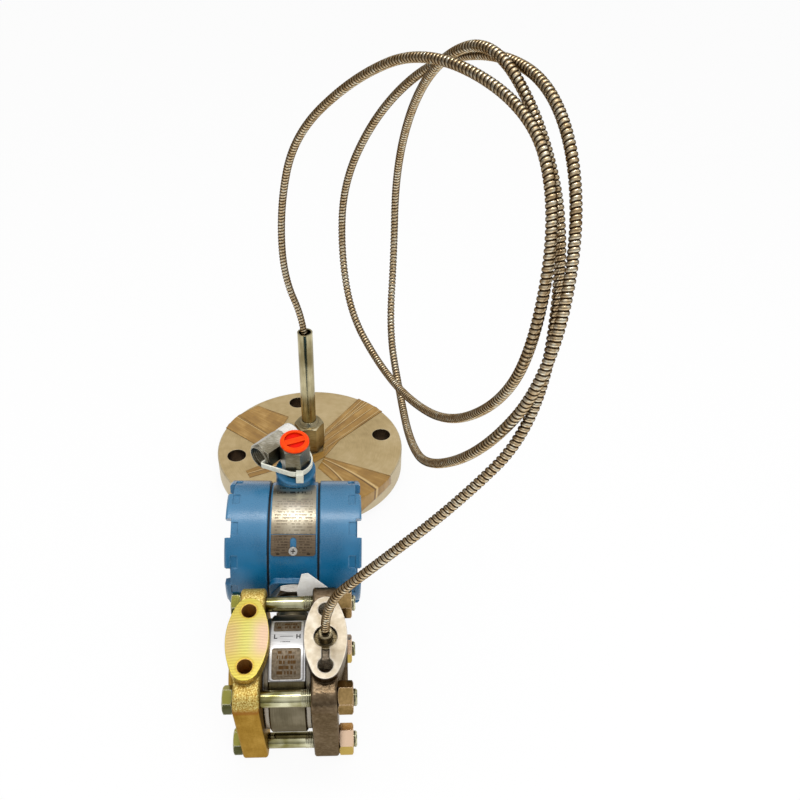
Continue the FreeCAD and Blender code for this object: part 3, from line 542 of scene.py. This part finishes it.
nut_steel_tones = (tint(150, 146, 138), tint(184, 180, 172), tint(216, 214, 208))
dress(bright_steel("stainless", *nut_steel_tones, 0.22), "neck_lock_nut")

# Neck tag: a strip of white tag paper that is looped round the neck and stuck to itself, with its
# flag standing over the module.
tag_paper, root = finish("tag_paper", Roughness=0.75)
fibre = grain(object_place(root), 600.0, 4.0)
crease = grain(object_place(root), 110.0)
sheet = fibre * 0.4 + crease * 0.6
feed(tag_paper, Base_Color=sheet.ramp((0.34, tint(236, 233, 226)), (0.62, tint(250, 249, 245))))
feed(tag_paper, Normal=bump(root, crease + fibre * 0.2, 0.0008))
dress(tag_paper, "neck_tag")

# Electronics housing: an aluminium casting with screwed covers, stove-painted blue. Black seal
# rings show in the joints between the barrel and the covers.
turning = joints["circuit_cover_turn"]
housing_at = turning["pos_m"]
housing_turn = math.asin(math.hypot(turning["axis"][1], turning["axis"][2]))
housing_matrix = Matrix.Rotation(lean, 3, "X") @ Matrix.Rotation(housing_turn, 3, "Y")
housing_angles = tuple(housing_matrix.to_euler("XYZ"))
bare_wall = (0.0434, 0.0432)
bare_start = (0.0186, 0.0188)
bare_end = (0.0466, 0.0462)
cover_pitch = 0.0015


def housing_place(root):
    """Along the barrel, along the neck, and out of the front conduit, from the barrel's middle."""
    return turned_place(root, housing_at, housing_angles)


blue_paint, root = finish("blue_paint", Specular_IOR_Level=0.5, Coat_Roughness=0.22)
place = housing_place(root)
x, y, z = parts(place)
peel = grain(place, 1100.0)
cloud = grain(place, 40.0, 3.0)
wear = grain(place, 260.0, 4.0)
paint = cloud.ramp((0.3, tint(4, 83, 121)), (0.5, tint(8, 91, 131)), (0.72, tint(15, 100, 142)))
rub = edge_mask(root, 0.0016, 3.0) * wear.rise(0.35, 0.65)
paint = (rub * 0.6).colours(paint, tint(120, 172, 212))
from_axis = distance(y, z)
# The barrel is paler where it faces up, out of the front conduit: painted light.
painted_top_light = (z / from_axis).rise(0.78, 1.0) * from_axis.rise(0.037, 0.0445) * 0.4
paint = painted_top_light.colours(paint, tint(92, 148, 186))
bare = from_axis.rise(*bare_wall) * abs(x).rise(*bare_start) * abs(x).rise(*bare_end)
turns = ridges(x, cover_pitch)
alloy = (turns * 0.6 + cloud * 0.4).ramp((0.2, tint(120, 120, 118)), (0.8, tint(206, 206, 203)))
feed(blue_paint, Base_Color=bare.colours(paint, alloy), Metallic=bare)
feed(blue_paint, Roughness=peel * 0.08 + cloud * 0.08 + 0.2)
feed(blue_paint, Coat_Weight=(cloud * 0.3 + 0.15) * (1 - bare))
feed(blue_paint, Normal=bump(root, peel * 0.15 + turns * bare * 0.7, 0.0006, 0.0012))
dress(blue_paint, "housing_body", "circuit_cover", "terminal_cover")

black_rubber, root = finish("black_rubber", Specular_IOR_Level=0.35)
dust = grain(object_place(root), 500.0, 3.0)
feed(black_rubber, Base_Color=dust.ramp((0.3, tint(14, 15, 18)), (0.75, tint(34, 36, 40))))
feed(black_rubber, Roughness=dust * 0.3 + 0.4)
dress(black_rubber, "circuit_cover_seal", "terminal_cover_seal")

# Inside the housing: round boards on nickel standoffs in the one chamber, and a moulded terminal
# block with nickel screws in the other.
green_board, root = finish("green_board", Roughness=0.4)
weave = grain(object_place(root), 900.0)
feed(green_board, Base_Color=weave.ramp((0.35, tint(22, 74, 44)), (0.65, tint(38, 104, 62))))
dress(green_board, "circuit_boards")
black_plastic, root = finish("black_plastic", Specular_IOR_Level=0.45)
mould = grain(object_place(root), 800.0)
feed(black_plastic, Base_Color=mould.ramp((0.3, tint(24, 24, 26)), (0.7, tint(40, 40, 43))))
feed(black_plastic, Roughness=mould * 0.2 + 0.4)
dress(black_plastic, "terminal_block")
nickel_tones = (tint(104, 98, 80), tint(128, 121, 102), tint(206, 202, 188))
nickel = bright_steel("nickel", *nickel_tones, 0.26, 0.00001)
dress(nickel, "terminal_screws", "board_standoffs", "adjust_screws")

# Plates on the barrel: a bright stainless plate with rows of fine print, and below it a darker
# plate that slides on a screw over the adjusting screws.
plate_radius = 0.0496
slide_radius = 0.05
screw_radius = 0.0515
screw_angle = math.radians(42.8)
brush_along = (0.06, 1.0, 1.0)
heading_at = (0.0, 0.0208)
title_at = (0.0, 0.0143)
rule_at = (0.0, 0.0098)
rows_at = (0.0, -0.0085)
plate_steel, root = finish("plate_steel", Metallic=1.0)
place = housing_place(root)
x, y, z = parts(place)
arc = y.math("ARCTAN2", z) * plate_radius
brush = grain(place, 1600.0, 2.0, brush_along)
cloud = grain(place, 45.0)
# The plate is lighter across its middle and darker towards the lower end of its arc: a painted
# highlight and painted shade.
glow = abs(x - 0.001).rise(0.016, 0.0)
tone = glow * 0.26 + cloud * 0.26 + brush * 0.14 + arc.rise(-0.022, 0.008) * 0.34
steel = tone.ramp(
    (0.25, tint(150, 138, 117)),
    (0.5, tint(184, 174, 153)),
    (0.75, tint(220, 213, 196)),
)
rows = print_rows(x, arc, 0.0025, 0.0026) * panel(x, arc, rows_at, (0.0148, 0.0155), 0.001)
title = panel(x, arc, title_at, (0.0138, 0.0022), 0.0006)
title_line = title * (1 - panel(x, arc, title_at, (0.0134, 0.0018), 0.0004))
title_room = panel(x, arc, title_at, (0.0122, 0.0011), 0.0003)
title_bars = title_room * print_rows(x, arc, 0.01, 0.0018, 1.9)
heading_room = panel(x, arc, heading_at, (0.0124, 0.0012), 0.0003)
heading = heading_room * print_rows(x, arc, 0.012, 0.002, 1.9)
rule = panel(x, arc, rule_at, (0.008, 0.00018), 0.0001)
inked = rows * 0.36 + title_line * 0.8 + title_bars * 0.8 + heading * 0.75 + rule * 0.7
feed(plate_steel, Base_Color=inked.colours(steel, tint(58, 48, 40)))
feed(plate_steel, Roughness=brush * 0.15 + 0.26 + rows * 0.1)
feed(plate_steel, Normal=bump(root, brush, 0.00004, 0.0004))
dress(plate_steel, "nameplate")

slide_steel, root = finish("slide_steel", Metallic=0.9)
place = housing_place(root)
x, y, z = parts(place)
arc = y.math("ARCTAN2", z) * slide_radius
brush = grain(place, 1600.0, 2.0, brush_along)
steel = brush.ramp((0.3, tint(106, 90, 72)), (0.7, tint(136, 119, 97)))
sides = abs(x).rise(0.0042, 0.0047) * abs(x).rise(0.0148, 0.0142)
rows = print_rows(x, arc, 0.0021, 0.0018, 0.45) * sides * arc.rise(-0.0395, -0.0385)
mark = panel(abs(x), arc, (0.0118, -0.0398), (0.0013, 0.0006), 0.0004)
border = 1 - panel(x, arc, (0.0, -0.033), (0.0169, 0.0086), 0.002)
inked = rows * 0.6 + mark * 0.9 + border * 0.35
feed(slide_steel, Base_Color=inked.colours(steel, tint(48, 40, 34)))
feed(slide_steel, Roughness=brush * 0.15 + 0.26)
feed(slide_steel, Normal=bump(root, brush, 0.00004, 0.0004))
dress(slide_steel, "adjust_plate")

slot_length = 0.0017
slot_width = 0.00036
screw_steel, root = finish("screw_steel", Metallic=1.0)
place = housing_place(root)
x, y, z = parts(place)
arc = (y.math("ARCTAN2", z) + screw_angle) * screw_radius
fleck = grain(place, 1200.0)
level = panel(x, arc, (0.0, 0.0), (slot_length, slot_width), 0.0001)
cross = level.math("MAXIMUM", panel(x, arc, (0.0, 0.0), (slot_width, slot_length), 0.0001))
steel = fleck.ramp((0.35, tint(190, 186, 178)), (0.65, tint(228, 226, 220)))
# The cross slot is painted dark: painted shade in a slot that only the bump draws.
feed(screw_steel, Base_Color=cross.colours(steel, tint(56, 50, 44)), Roughness=fleck * 0.1 + 0.24)
feed(screw_steel, Normal=bump(root, 1 - cross, 0.0004, 0.0005))
dress(screw_steel, "adjust_plate_screw")

# Conduit fittings: nickel-plated hexagon adapters, one in the front opening under an orange plug
# and one spare with thread tape tied beside it, and a hexagon plug in the rear opening.
dress(nickel, "conduit_adapter", "spare_adapter", "rear_conduit_plug")
conduit_front = np.array([0.0, 0.037, 0.05])
adapter_bore = 0.009
spigot_radius = 0.01045
conduit_pitch = 0.0018
conduit_root = 0.00003
spare_angle = math.radians(133.4)
spare_tilt = math.radians(4.2)
spare_way = np.array([math.cos(spare_angle), -math.sin(spare_angle), 0.0])
spare_side = np.array([math.sin(spare_angle), math.cos(spare_angle), 0.0])
spare_along = 0.0187
spare_beside = 0.02332
spare_over = np.array([0.0, 0.0, 0.01052])
spare_mouth = conduit_front + spare_way * spare_along - spare_side * spare_beside + spare_over
spare_axis = spare_way * math.cos(spare_tilt) + np.array([0.0, 0.0, math.sin(spare_tilt)])


def to_housing(points):
    """Points of the housing's own frame, from the barrel's middle, as places in the object."""
    return points @ np.array(housing_matrix).T + np.array(housing_at)


def to_spare(points):
    """Points about the spare's axis, with z out of its mouth, as places in the object."""
    up = np.cross(spare_axis, spare_side)
    turn = np.column_stack([spare_side, up, spare_axis])
    return to_housing(points @ turn.T + spare_mouth)


mouth_thread = helix_ridge(adapter_bore + conduit_root, -0.0006, conduit_pitch, -0.022, -0.0008)
foot_thread = helix_ridge(spigot_radius - conduit_root, 0.0005, conduit_pitch, 0.0003, 0.0058)
threads = [
    (to_spare(mouth_thread[0]), mouth_thread[1]),
    (to_housing(foot_thread[0] + conduit_front), foot_thread[1]),
]
new_piece("conduit_threads", *several(threads), nickel, "housing", "nickel")


def wrapped_band(radius, thick, start, end, laps=5, around=72, rows=40):
    """Tape wound on a rod along z: at the height share s and the angle a its radius is the rod's
    plus the thickness times a saw tooth of laps * s + a / (2 pi), which steps at each lap's edge."""
    shares = np.linspace(0.0, 1.0, rows)
    share, angle = np.meshgrid(shares, np.arange(around) / around, indexing="ij")
    lap = (laps * share + angle) % 1.0
    ends = np.minimum(np.minimum(share, 1.0 - share) * 12.0, 1.0)
    reach = radius + thick * (0.55 + 0.45 * lap) * ends
    turn = 2 * np.pi * angle
    height = start + (end - start) * share
    points = np.stack([reach * np.cos(turn), reach * np.sin(turn), height], axis=-1)
    return points.reshape(-1, 3), grid_faces(rows, around, True)


tape_gap = 0.00002
tape_thick = 0.00045
tape_run = (-0.039, -0.0272)
band_points, band_faces = wrapped_band(spigot_radius + tape_gap, tape_thick, *tape_run)
new_piece("thread_tape", to_spare(band_points), band_faces, white_gasket, "housing", "white_gasket")

plug_top = conduit_front[2] + 0.0355
well_wall = (0.0086, 0.0081)
orange_plastic, root = finish("orange_plastic", Specular_IOR_Level=0.12)
place = housing_place(root)
x, y, z = parts(place)
mould = grain(place, 300.0, 3.0)
orange = mould.ramp((0.3, tint(248, 58, 0)), (0.7, tint(255, 76, 6)))
# The edges are lightened: a painted highlight.
orange = (edge_mask(root, 0.0012, 5.0) * 0.6).colours(orange, tint(255, 104, 24))
sunk = z.rise(plug_top - 0.0002, plug_top - 0.0018)
well = distance(x, y - conduit_front[1]).rise(*well_wall)
# The well inside the rim is a deeper red: painted shade in the recess.
orange = (sunk * well).colours(orange, tint(226, 18, 0))
feed(orange_plastic, Base_Color=recess_shade(root, orange, tint(190, 26, 0), 0.004, 0.25, 0.95))
feed(orange_plastic, Roughness=mould * 0.15 + 0.34)
feed(orange_plastic, Normal=bump(root, mould, 0.0001, 0.0008))
dress(orange_plastic, "shipping_plug")

nylon, root = finish("nylon", Specular_IOR_Level=0.5)
mould = grain(object_place(root), 400.0, 3.0)
feed(nylon, Base_Color=mould.ramp((0.3, tint(222, 221, 202)), (0.7, tint(242, 242, 228))))
feed(nylon, Roughness=mould * 0.15 + 0.32)
feed(nylon, Normal=bump(root, mould, 0.0001, 0.0005))
dress(nylon, "cable_tie")

# Remote seal: a turned steel flange with four bolt holes on a raised face that a thin diaphragm
# closes, a hexagon block on top of it, and a polished tube that guides the capillary.
seal_low, seal_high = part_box("seal_flange")
seal_at = ((seal_low[0] + seal_high[0]) / 2, (seal_low[1] + seal_high[1]) / 2, 0.0)
seal_radius = (seal_high[0] - seal_low[0]) / 2
seal_turn = math.radians(11.6)
seal_bolt_circle = 0.0762
seal_hole_wall = (0.0099, 0.0096)
seal_hole_top = (0.0299, 0.0296)
quarter = math.pi / 2
seal_steel, root = finish("seal_steel", Metallic=0.8)
place = turned_place(root, seal_at, (0.0, 0.0, 0.0))
x, y, z = parts(place)
radius = distance(x, y)
sockets = {"X": radius, "Y": z, "Z": y.math("ARCTAN2", x) * 0.004}
ring = root.node("ShaderNodeCombineXYZ", None, sockets)
lathe = grain(ring, 1300.0)
cloud = grain(place, 22.0, 3.0)
stain = grain(place, 160.0, 4.0)
tone = cloud * 0.5 + stain * 0.25 + lathe * 0.25
steel = tone.ramp(
    (0.36, tint(182, 158, 112)),
    (0.5, tint(202, 178, 130)),
    (0.64, tint(216, 194, 150)),
)
rim = radius.rise(seal_radius - 0.0012, seal_radius - 0.0004)
steel = (rim * 0.55).colours(steel, tint(206, 196, 170))
# The edges are lightened: a painted highlight.
steel = (edge_mask(root, 0.0012, 6.0) * 0.6).colours(steel, tint(226, 218, 196))
swing = y.math("ARCTAN2", x) - seal_turn + quarter / 2
swing = swing.math("FLOORED_MODULO", quarter) - quarter / 2
hole_x = radius * swing.math("COSINE") - seal_bolt_circle
hole_y = radius * swing.math("SINE")
in_hole = distance(hole_x, hole_y).rise(*seal_hole_wall) * z.rise(*seal_hole_top)
steel = recess_shade(root, steel, tint(70, 54, 34), 0.012, 0.3, 0.8)
shade = stain.ramp((0.3, tint(48, 34, 20)), (0.7, tint(88, 66, 42)))
feed(seal_steel, Base_Color=in_hole.colours(steel, shade))
feed(seal_steel, Roughness=stain * 0.2 + lathe * 0.1 + 0.34)
feed(seal_steel, Normal=bump(root, lathe, 0.00006, 0.0006))
dress(seal_steel, "seal_flange", "seal_body", "seal_diaphragm")

block_tones = (tint(122, 109, 76), tint(150, 135, 99), tint(214, 201, 166))
dress(bright_steel("block_steel", *block_tones, 0.28), "seal_block")
polish = (1.0, 1.0, 0.04)
tube_tones = (tint(112, 101, 68), tint(140, 128, 92), tint(206, 196, 158))
tube_steel = bright_steel("tube_steel", *tube_tones, 0.1, 0.00003, polish)
dress(tube_steel, "support_tube", "tube_ferrule")

# Strips on the seal flange: brown adhesive film, stretched over its top and bent down its rim, with
# creases along it. Each strip lies between two straight edges.
flange_top = seal_high[2]
film_thick = 0.00012


def film_strip(first, second, lift, rows=64, columns=16):
    """A strip between two edges: the point (s, t) lies at the share t from the first edge to the
    second, each taken at the share s of its length, on the flange's top. Past the rim's radius it
    keeps to the rim, and lies as far below the top as it would have lain beyond it. Also gives
    (s, t) in metres."""
    first, second = np.array(first) / 1000, np.array(second) / 1000
    s, t = np.meshgrid(np.linspace(0.0, 1.0, rows), np.linspace(0.0, 1.0, columns), indexing="ij")
    s, t = s[..., None], t[..., None]
    spot = (1 - t) * ((1 - s) * first[0] + s * first[1]) + t * ((1 - s) * second[0] + s * second[1])
    spot = spot - np.array(seal_at[:2])
    reach = np.linalg.norm(spot, axis=-1, keepdims=True)
    beyond = np.maximum(reach - seal_radius, 0.0)
    spot = np.where(beyond > 0, spot / reach * (seal_radius + lift), spot)
    points = np.concatenate([spot + seal_at[:2], flange_top + lift - beyond], axis=-1)
    length = np.linalg.norm(first[1] - first[0])
    width = np.linalg.norm(second[0] - first[0])
    flat = np.concatenate([s * length, t * width], axis=-1)
    return points.reshape(-1, 3), grid_faces(rows, columns)[:, ::-1], flat.reshape(-1, 2), width


def film_finish(name, width, folds):
    """Golden brown film: soft blotches and faint streaks, and folds along it, each a dark line of
    painted shade with a light one of painted highlight beside it, that start at a share of the
    width and drift across it by a slope."""
    material, root = finish(name, Specular_IOR_Level=0.45, Coat_Weight=0.12)
    s, t = parts(root.node("ShaderNodeUVMap", {"uv_map": "strip"}), "XY")
    flat = root.node("ShaderNodeCombineXYZ", None, {"X": s, "Y": t})
    streaks = grain(flat, 500.0, 2.0, (0.06, 1.0, 1.0))
    blotch = grain(flat, 45.0, 3.0)
    tone = streaks * 0.35 + blotch * 0.65
    brown = tone.ramp(
        (0.36, tint(138, 101, 42)),
        (0.5, tint(160, 121, 56)),
        (0.64, tint(188, 150, 86)),
    )
    height = blotch * 0.7
    for share, slope in folds:
        away = t - s * slope - width * share
        # Each fold: a dark line of painted shade, and beside it a light line of painted highlight.
        brown = (abs(away).rise(0.0007, 0.0002) * 0.8).colours(brown, tint(92, 62, 20))
        painted_fold_highlight = abs(away + 0.0009).rise(0.0008, 0.0002)
        brown = (painted_fold_highlight * 0.75).colours(brown, tint(226, 194, 134))
        height = height + painted_fold_highlight * 0.3
    edge = (t - width).rise(-0.0006, -0.0002)
    feed(material, Base_Color=(edge * 0.25).colours(brown, tint(104, 70, 32)))
    feed(material, Roughness=blotch * 0.2 + 0.22, Normal=bump(root, height, 0.0014))
    return material


def unroll(piece, name, corners):
    """Gives a piece a UV map from the two values at each face's corners."""
    layer = piece.data.uv_layers.new(name=name)
    layer.data.foreach_set("uv", corners.ravel().astype(np.float32))


left_folds = [(0.9, 0.01)]
right_folds = [(0.16, 0.05), (0.3, 0.02), (0.42, -0.06), (0.68, -0.02), (0.94, 0.0)]
front_folds = [(0.22, 0.07), (0.5, 0.16)]
strips = {
    "strip_left": ((-99.8, 162.2), (-49.8, 119.9), (-88.0, 184.7), (-37.3, 136.1), 0.4, left_folds),
    "strip_patch": ((-79.2, 176.2), (-37.8, 136.6), (-59.5, 193.1), (-24.5, 172.0), 0.2, []),
    "strip_right": ((55.4, 208.1), (15.6, 148.5), (84.0, 186.6), (13.5, 112.6), 0.4, right_folds),
    "strip_middle": ((13.8, 131.0), (14.2, 113.2), (31.0, 130.9), (15.5, 103.8), 0.3, [(0.5, 0.1)]),
    "strip_under": ((14.2, 113.2), (-3.0, 104.0), (15.5, 103.8), (2.0, 92.0), 0.3, []),
    "strip_front": ((15.5, 103.8), (91.6, 68.5), (8.7, 86.9), (58.6, 22.7), 0.2, front_folds),
    "strip_near": ((-63.2, 84.3), (-35.2, 100.4), (-58.3, 73.7), (-19.6, 90.7), 0.2, [(0.5, 0.05)]),
}
for name, (first, first_end, second, second_end, lift, folds) in strips.items():
    edges = (first, first_end), (second, second_end)
    points, faces, flat, width = film_strip(*edges, lift / 1000)
    film = film_finish(name + "_film", width, folds)
    strip = new_piece(name, points, faces, film, "base", "tag_paper")
    unroll(strip, "strip", flat[faces.ravel()])
    wall = strip.modifiers.new("thickness", "SOLIDIFY")
    wall.thickness = film_thick
    wall.offset = 0.0

# Capillary: a fine steel tube inside armour of interlocked strip, from the seal's tube in standing
# loops to a brass-brown stub on the high side's pad. Each turn is one ridge with a seam along it.
armour_radius = 0.0032
armour_inset = 0.00004
armour_pitch = 0.0031
armour_section = (-0.0008, -0.00035, 0.00002, -0.00006, 0.00002, -0.00035)
capillary_route = [
    (0.0, 0.1236, 0.147), (0.0, 0.1236, 0.178), (-0.017, 0.121, 0.228), (-0.015, 0.113, 0.298),
    (0.001, 0.082, 0.366), (0.045, 0.029, 0.421), (0.086, -0.04, 0.455), (0.132, -0.115, 0.444),
    (0.14, -0.164, 0.409), (0.135, -0.175, 0.335), (0.127, -0.144, 0.277), (0.107, -0.093, 0.225),
    (0.087, -0.024, 0.193), (0.066, 0.046, 0.181), (0.043, 0.103, 0.198), (0.035, 0.134, 0.247),
    (0.038, 0.125, 0.312), (0.062, 0.083, 0.38), (0.094, 0.026, 0.431), (0.123, -0.051, 0.456),
    (0.145, -0.115, 0.452), (0.152, -0.165, 0.406), (0.139, -0.198, 0.334), (0.115, -0.175, 0.267),
    (0.092, -0.115, 0.204), (0.086, -0.05, 0.172), (0.083, 0.022, 0.166), (0.077, 0.087, 0.188),
    (0.082, 0.127, 0.245), (0.081, 0.12, 0.319), (0.086, 0.06, 0.392), (0.097, -0.016, 0.445),
    (0.119, -0.066, 0.465), (0.14, -0.114, 0.433), (0.148, -0.161, 0.386), (0.14, -0.188, 0.297),
    (0.098, -0.195, 0.245), (0.049, -0.194, 0.191), (0.0209, -0.18281, 0.14763),
    (0.0209, -0.17648, 0.11117),
]
line = bpy.data.curves.new("capillary_line", "CURVE")
line.dimensions = "3D"
line.resolution_u = 24
spline = line.splines.new("NURBS")
spline.points.add(len(capillary_route) - 1)
spline.points.foreach_set("co", np.insert(capillary_route, 3, 1.0, axis=1).ravel())
spline.order_u = 3
spline.use_endpoint_u = True
line_holder = bpy.data.objects.new("capillary_line", line)
line_mesh = bpy.data.meshes.new_from_object(line_holder)
capillary_points = np.empty(len(line_mesh.vertices) * 3)
line_mesh.vertices.foreach_get("co", capillary_points)
capillary_points = capillary_points.reshape(-1, 3)
bpy.data.meshes.remove(line_mesh)
bpy.data.objects.remove(line_holder)
bpy.data.curves.remove(line)


def wound_armour(points, radius, pitch, section, around=16):
    """Armour along a line: point (i, j) lies on the ring at the distance (i / n + j / around) times
    the pitch along the line, so that the rows of the grid follow the helix, at the radius that the
    section of n values gives for i. The ring's axes are square to the line and to each other. Row
    ends join on to the row one pitch further on, and a fan about the line closes each end. Also
    gives each corner's turn and share of the way round."""
    steps = np.linalg.norm(np.diff(points, axis=0), axis=1)
    travel = np.concatenate([[0.0], np.cumsum(steps)])
    count = len(section)
    rows = int((travel[-1] / pitch - 1) * count)
    i, j = np.meshgrid(np.arange(rows), np.arange(around), indexing="ij")
    along = (i / count + j / around) * pitch
    middle = np.stack([np.interp(along, travel, points[:, k]) for k in range(3)], axis=-1)
    slope = np.gradient(points, travel, axis=0)
    way = np.stack([np.interp(along, travel, slope[:, k]) for k in range(3)], axis=-1)
    way /= np.linalg.norm(way, axis=-1, keepdims=True)
    side = np.array([1.0, 0.0, 0.0]) - way * way[..., :1]
    side /= np.linalg.norm(side, axis=-1, keepdims=True)
    up = np.cross(way, side)
    angle = (2 * np.pi * j / around)[..., None]
    reach = (radius + np.asarray(section)[i % count])[..., None]
    ring = middle + reach * (np.cos(angle) * side + np.sin(angle) * up)
    first, second = np.meshgrid(np.arange(rows - 1), np.arange(around), indexing="ij")

    def at(row, column):
        return (row + count * (column // around)) * around + column % around

    corners = [(0, 0), (0, 1), (1, 1), (1, 0)]
    quads = np.stack([at(first + r, second + c) for r, c in corners], axis=-1).reshape(-1, 4)
    turns = [np.stack([(first + r) / count, (second + c) / around], axis=-1) for r, c in corners]
    keep = quads.max(axis=1) < rows * around
    lip = np.concatenate([at(0, np.arange(around)), at(np.arange(count, -1, -1), 0)])
    last = rows - 1
    step = at(np.arange(last, last - count - 1, -1), around - 1)
    tip = np.concatenate([at(last, np.arange(around)), step, [at(last, 0)]])
    fans = []
    for loop, middle_point in ((lip[::-1], rows * around), (tip, rows * around + 1)):
        fans.append(np.column_stack([loop[:-1], loop[1:], np.full(len(loop) - 1, middle_point)]))
    fans = np.concatenate(fans)
    points = np.concatenate([ring.reshape(-1, 3), points[:1], points[-1:]])
    faces = quads[keep].tolist() + fans.tolist()
    uv = np.stack(turns, axis=-2).reshape(-1, 4, 2)[keep].reshape(-1, 2)
    uv = np.concatenate([uv, np.zeros((fans.size, 2))])
    return points, faces, uv


armour_core = armour_radius - armour_inset
points, faces, uv = wound_armour(capillary_points, armour_core, armour_pitch, armour_section)
armour_steel, root = finish("armour_steel", Metallic=1.0, Specular_Tint=(0.12, 0.08, 0.05, 1.0))
u, v = parts(root.node("ShaderNodeUVMap", {"uv_map": "wound"}), "XY")
across = abs(u - u.math("FLOOR") - 0.5) * 2.0
patina = grain(object_place(root), 55.0, 3.0)
fleck = grain(object_place(root), 450.0, 3.0)
tone = patina * 0.35 + fleck * 0.65
crest = tone.ramp(
    (0.36, tint(188, 157, 114)),
    (0.5, tint(234, 209, 168)),
    (0.62, tint(255, 248, 224)),
)
groove = (across.rise(0.3, 0.06) * 0.5).math("MAXIMUM", across.rise(0.5, 0.8))
# The armour is darkened on its two sides along the ring's side axis: painted shade.
painted_side_shade = abs((v * 2 * math.pi).math("COSINE")).rise(0.4, 0.9) * 0.65
crest = painted_side_shade.colours(crest, tint(92, 71, 48))
feed(armour_steel, Base_Color=groove.colours(crest, tint(60, 44, 28)))
feed(armour_steel, Roughness=groove * 0.2 + fleck * 0.1 + 0.2)
armour = new_piece("capillary_armour", points, faces, armour_steel, "base", "armour")
unroll(armour, "wound", uv)
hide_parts("capillary")
brass_tones = (tint(100, 86, 60), tint(136, 120, 88), tint(214, 200, 166))
dress(bright_steel("brass", *brass_tones, 0.2), "capillary_fitting")

# Stage: a plain white floor that keeps the object's shadow, a sky that is brighter overhead, a wide
# soft light above with a weaker one in front, and the camera at the photograph's place.
floor_half = 8.0
floor_drop = 0.0002
floor_glow = 0.92
floor_points = np.array([[-1, -1, 0], [1, -1, 0], [1, 1, 0], [-1, 1, 0]]) * floor_half
floor_mesh = bpy.data.meshes.new("floor")
floor_mesh.from_pydata(floor_points.tolist(), [], [[0, 1, 2, 3]])
floor = bpy.data.objects.new("floor", floor_mesh)
floor.location.z = -floor_drop
bpy.context.scene.collection.objects.link(floor)
floor_white = bpy.data.materials.new("floor_white")
floor_white.use_nodes = True
floor_white.node_tree.nodes.clear()
root = Field(floor_white.node_tree)
seen = root.node("ShaderNodeLightPath", out="Is Camera Ray")
mirrored = root.node("ShaderNodeLightPath", out="Is Glossy Ray")
through = root.node("ShaderNodeLightPath", out="Is Transmission Ray")
matt = root.node("ShaderNodeBsdfDiffuse", None, {"Color": (0.86, 0.86, 0.86, 1.0)})
glow = root.node("ShaderNodeEmission", None, {"Color": (1.0, 1.0, 1.0, 1.0), "Strength": 1.0})
share = seen.math("MAXIMUM", mirrored).math("MAXIMUM", through) * floor_glow
mixed = root.node("ShaderNodeMixShader", None, {0: share, 1: matt, 2: glow})
root.node("ShaderNodeOutputMaterial", None, {"Surface": mixed}, None)
floor_mesh.materials.append(floor_white)

world = bpy.data.worlds.new("studio")
world.use_nodes = True
world.node_tree.nodes.clear()
bpy.context.scene.world = world
root = Field(world.node_tree)
height = parts(root.node("ShaderNodeTexCoord", out="Generated"), "Z")[0]
greys = [(grey, grey, grey, 1.0) for grey in (0.3, 0.62, 1.0)]
shade = height.ramp((0.0, greys[0]), (0.42, greys[1]), (0.95, greys[2]))
sky = root.node("ShaderNodeBackground", None, {"Color": shade, "Strength": 0.9})
root.node("ShaderNodeOutputWorld", None, {"Surface": sky}, None)


def lamp(name, place, target, size, power):
    """A rectangular soft light at a place, turned to a target."""
    light = bpy.data.lights.new(name, "AREA")
    light.shape = "RECTANGLE"
    light.size, light.size_y = size
    light.energy = power
    holder = bpy.data.objects.new(name, light)
    holder.location = place
    way = Vector(target) - holder.location
    holder.rotation_euler = way.to_track_quat("-Z", "Y").to_euler()
    bpy.context.scene.collection.objects.link(holder)
    return holder


lamp("overhead", (0.1, 0.0, 1.7), (0.1, -0.1, 0.1), (0.7, 0.3), 5.5)
fill = lamp("front", (0.25, -1.15, 1.25), (0.0, -0.1, 0.1), (0.9, 0.9), 12.0)
fill.visible_glossy = False

looks_down = math.radians(36.23)
looks_right = math.radians(1.36)
camera_data = bpy.data.cameras.new("camera")
camera_data.lens = 36.36
camera_data.sensor_width = 36.0
camera_data.shift_x = 0.0509
camera = bpy.data.objects.new("camera", camera_data)
camera.location = (0.0357, -0.5280, 0.5645)
camera.rotation_euler = (math.pi / 2 - looks_down, 0.0, -looks_right)
bpy.context.scene.collection.objects.link(camera)
bpy.context.scene.camera = camera
bpy.context.scene.view_settings.view_transform = "Standard"
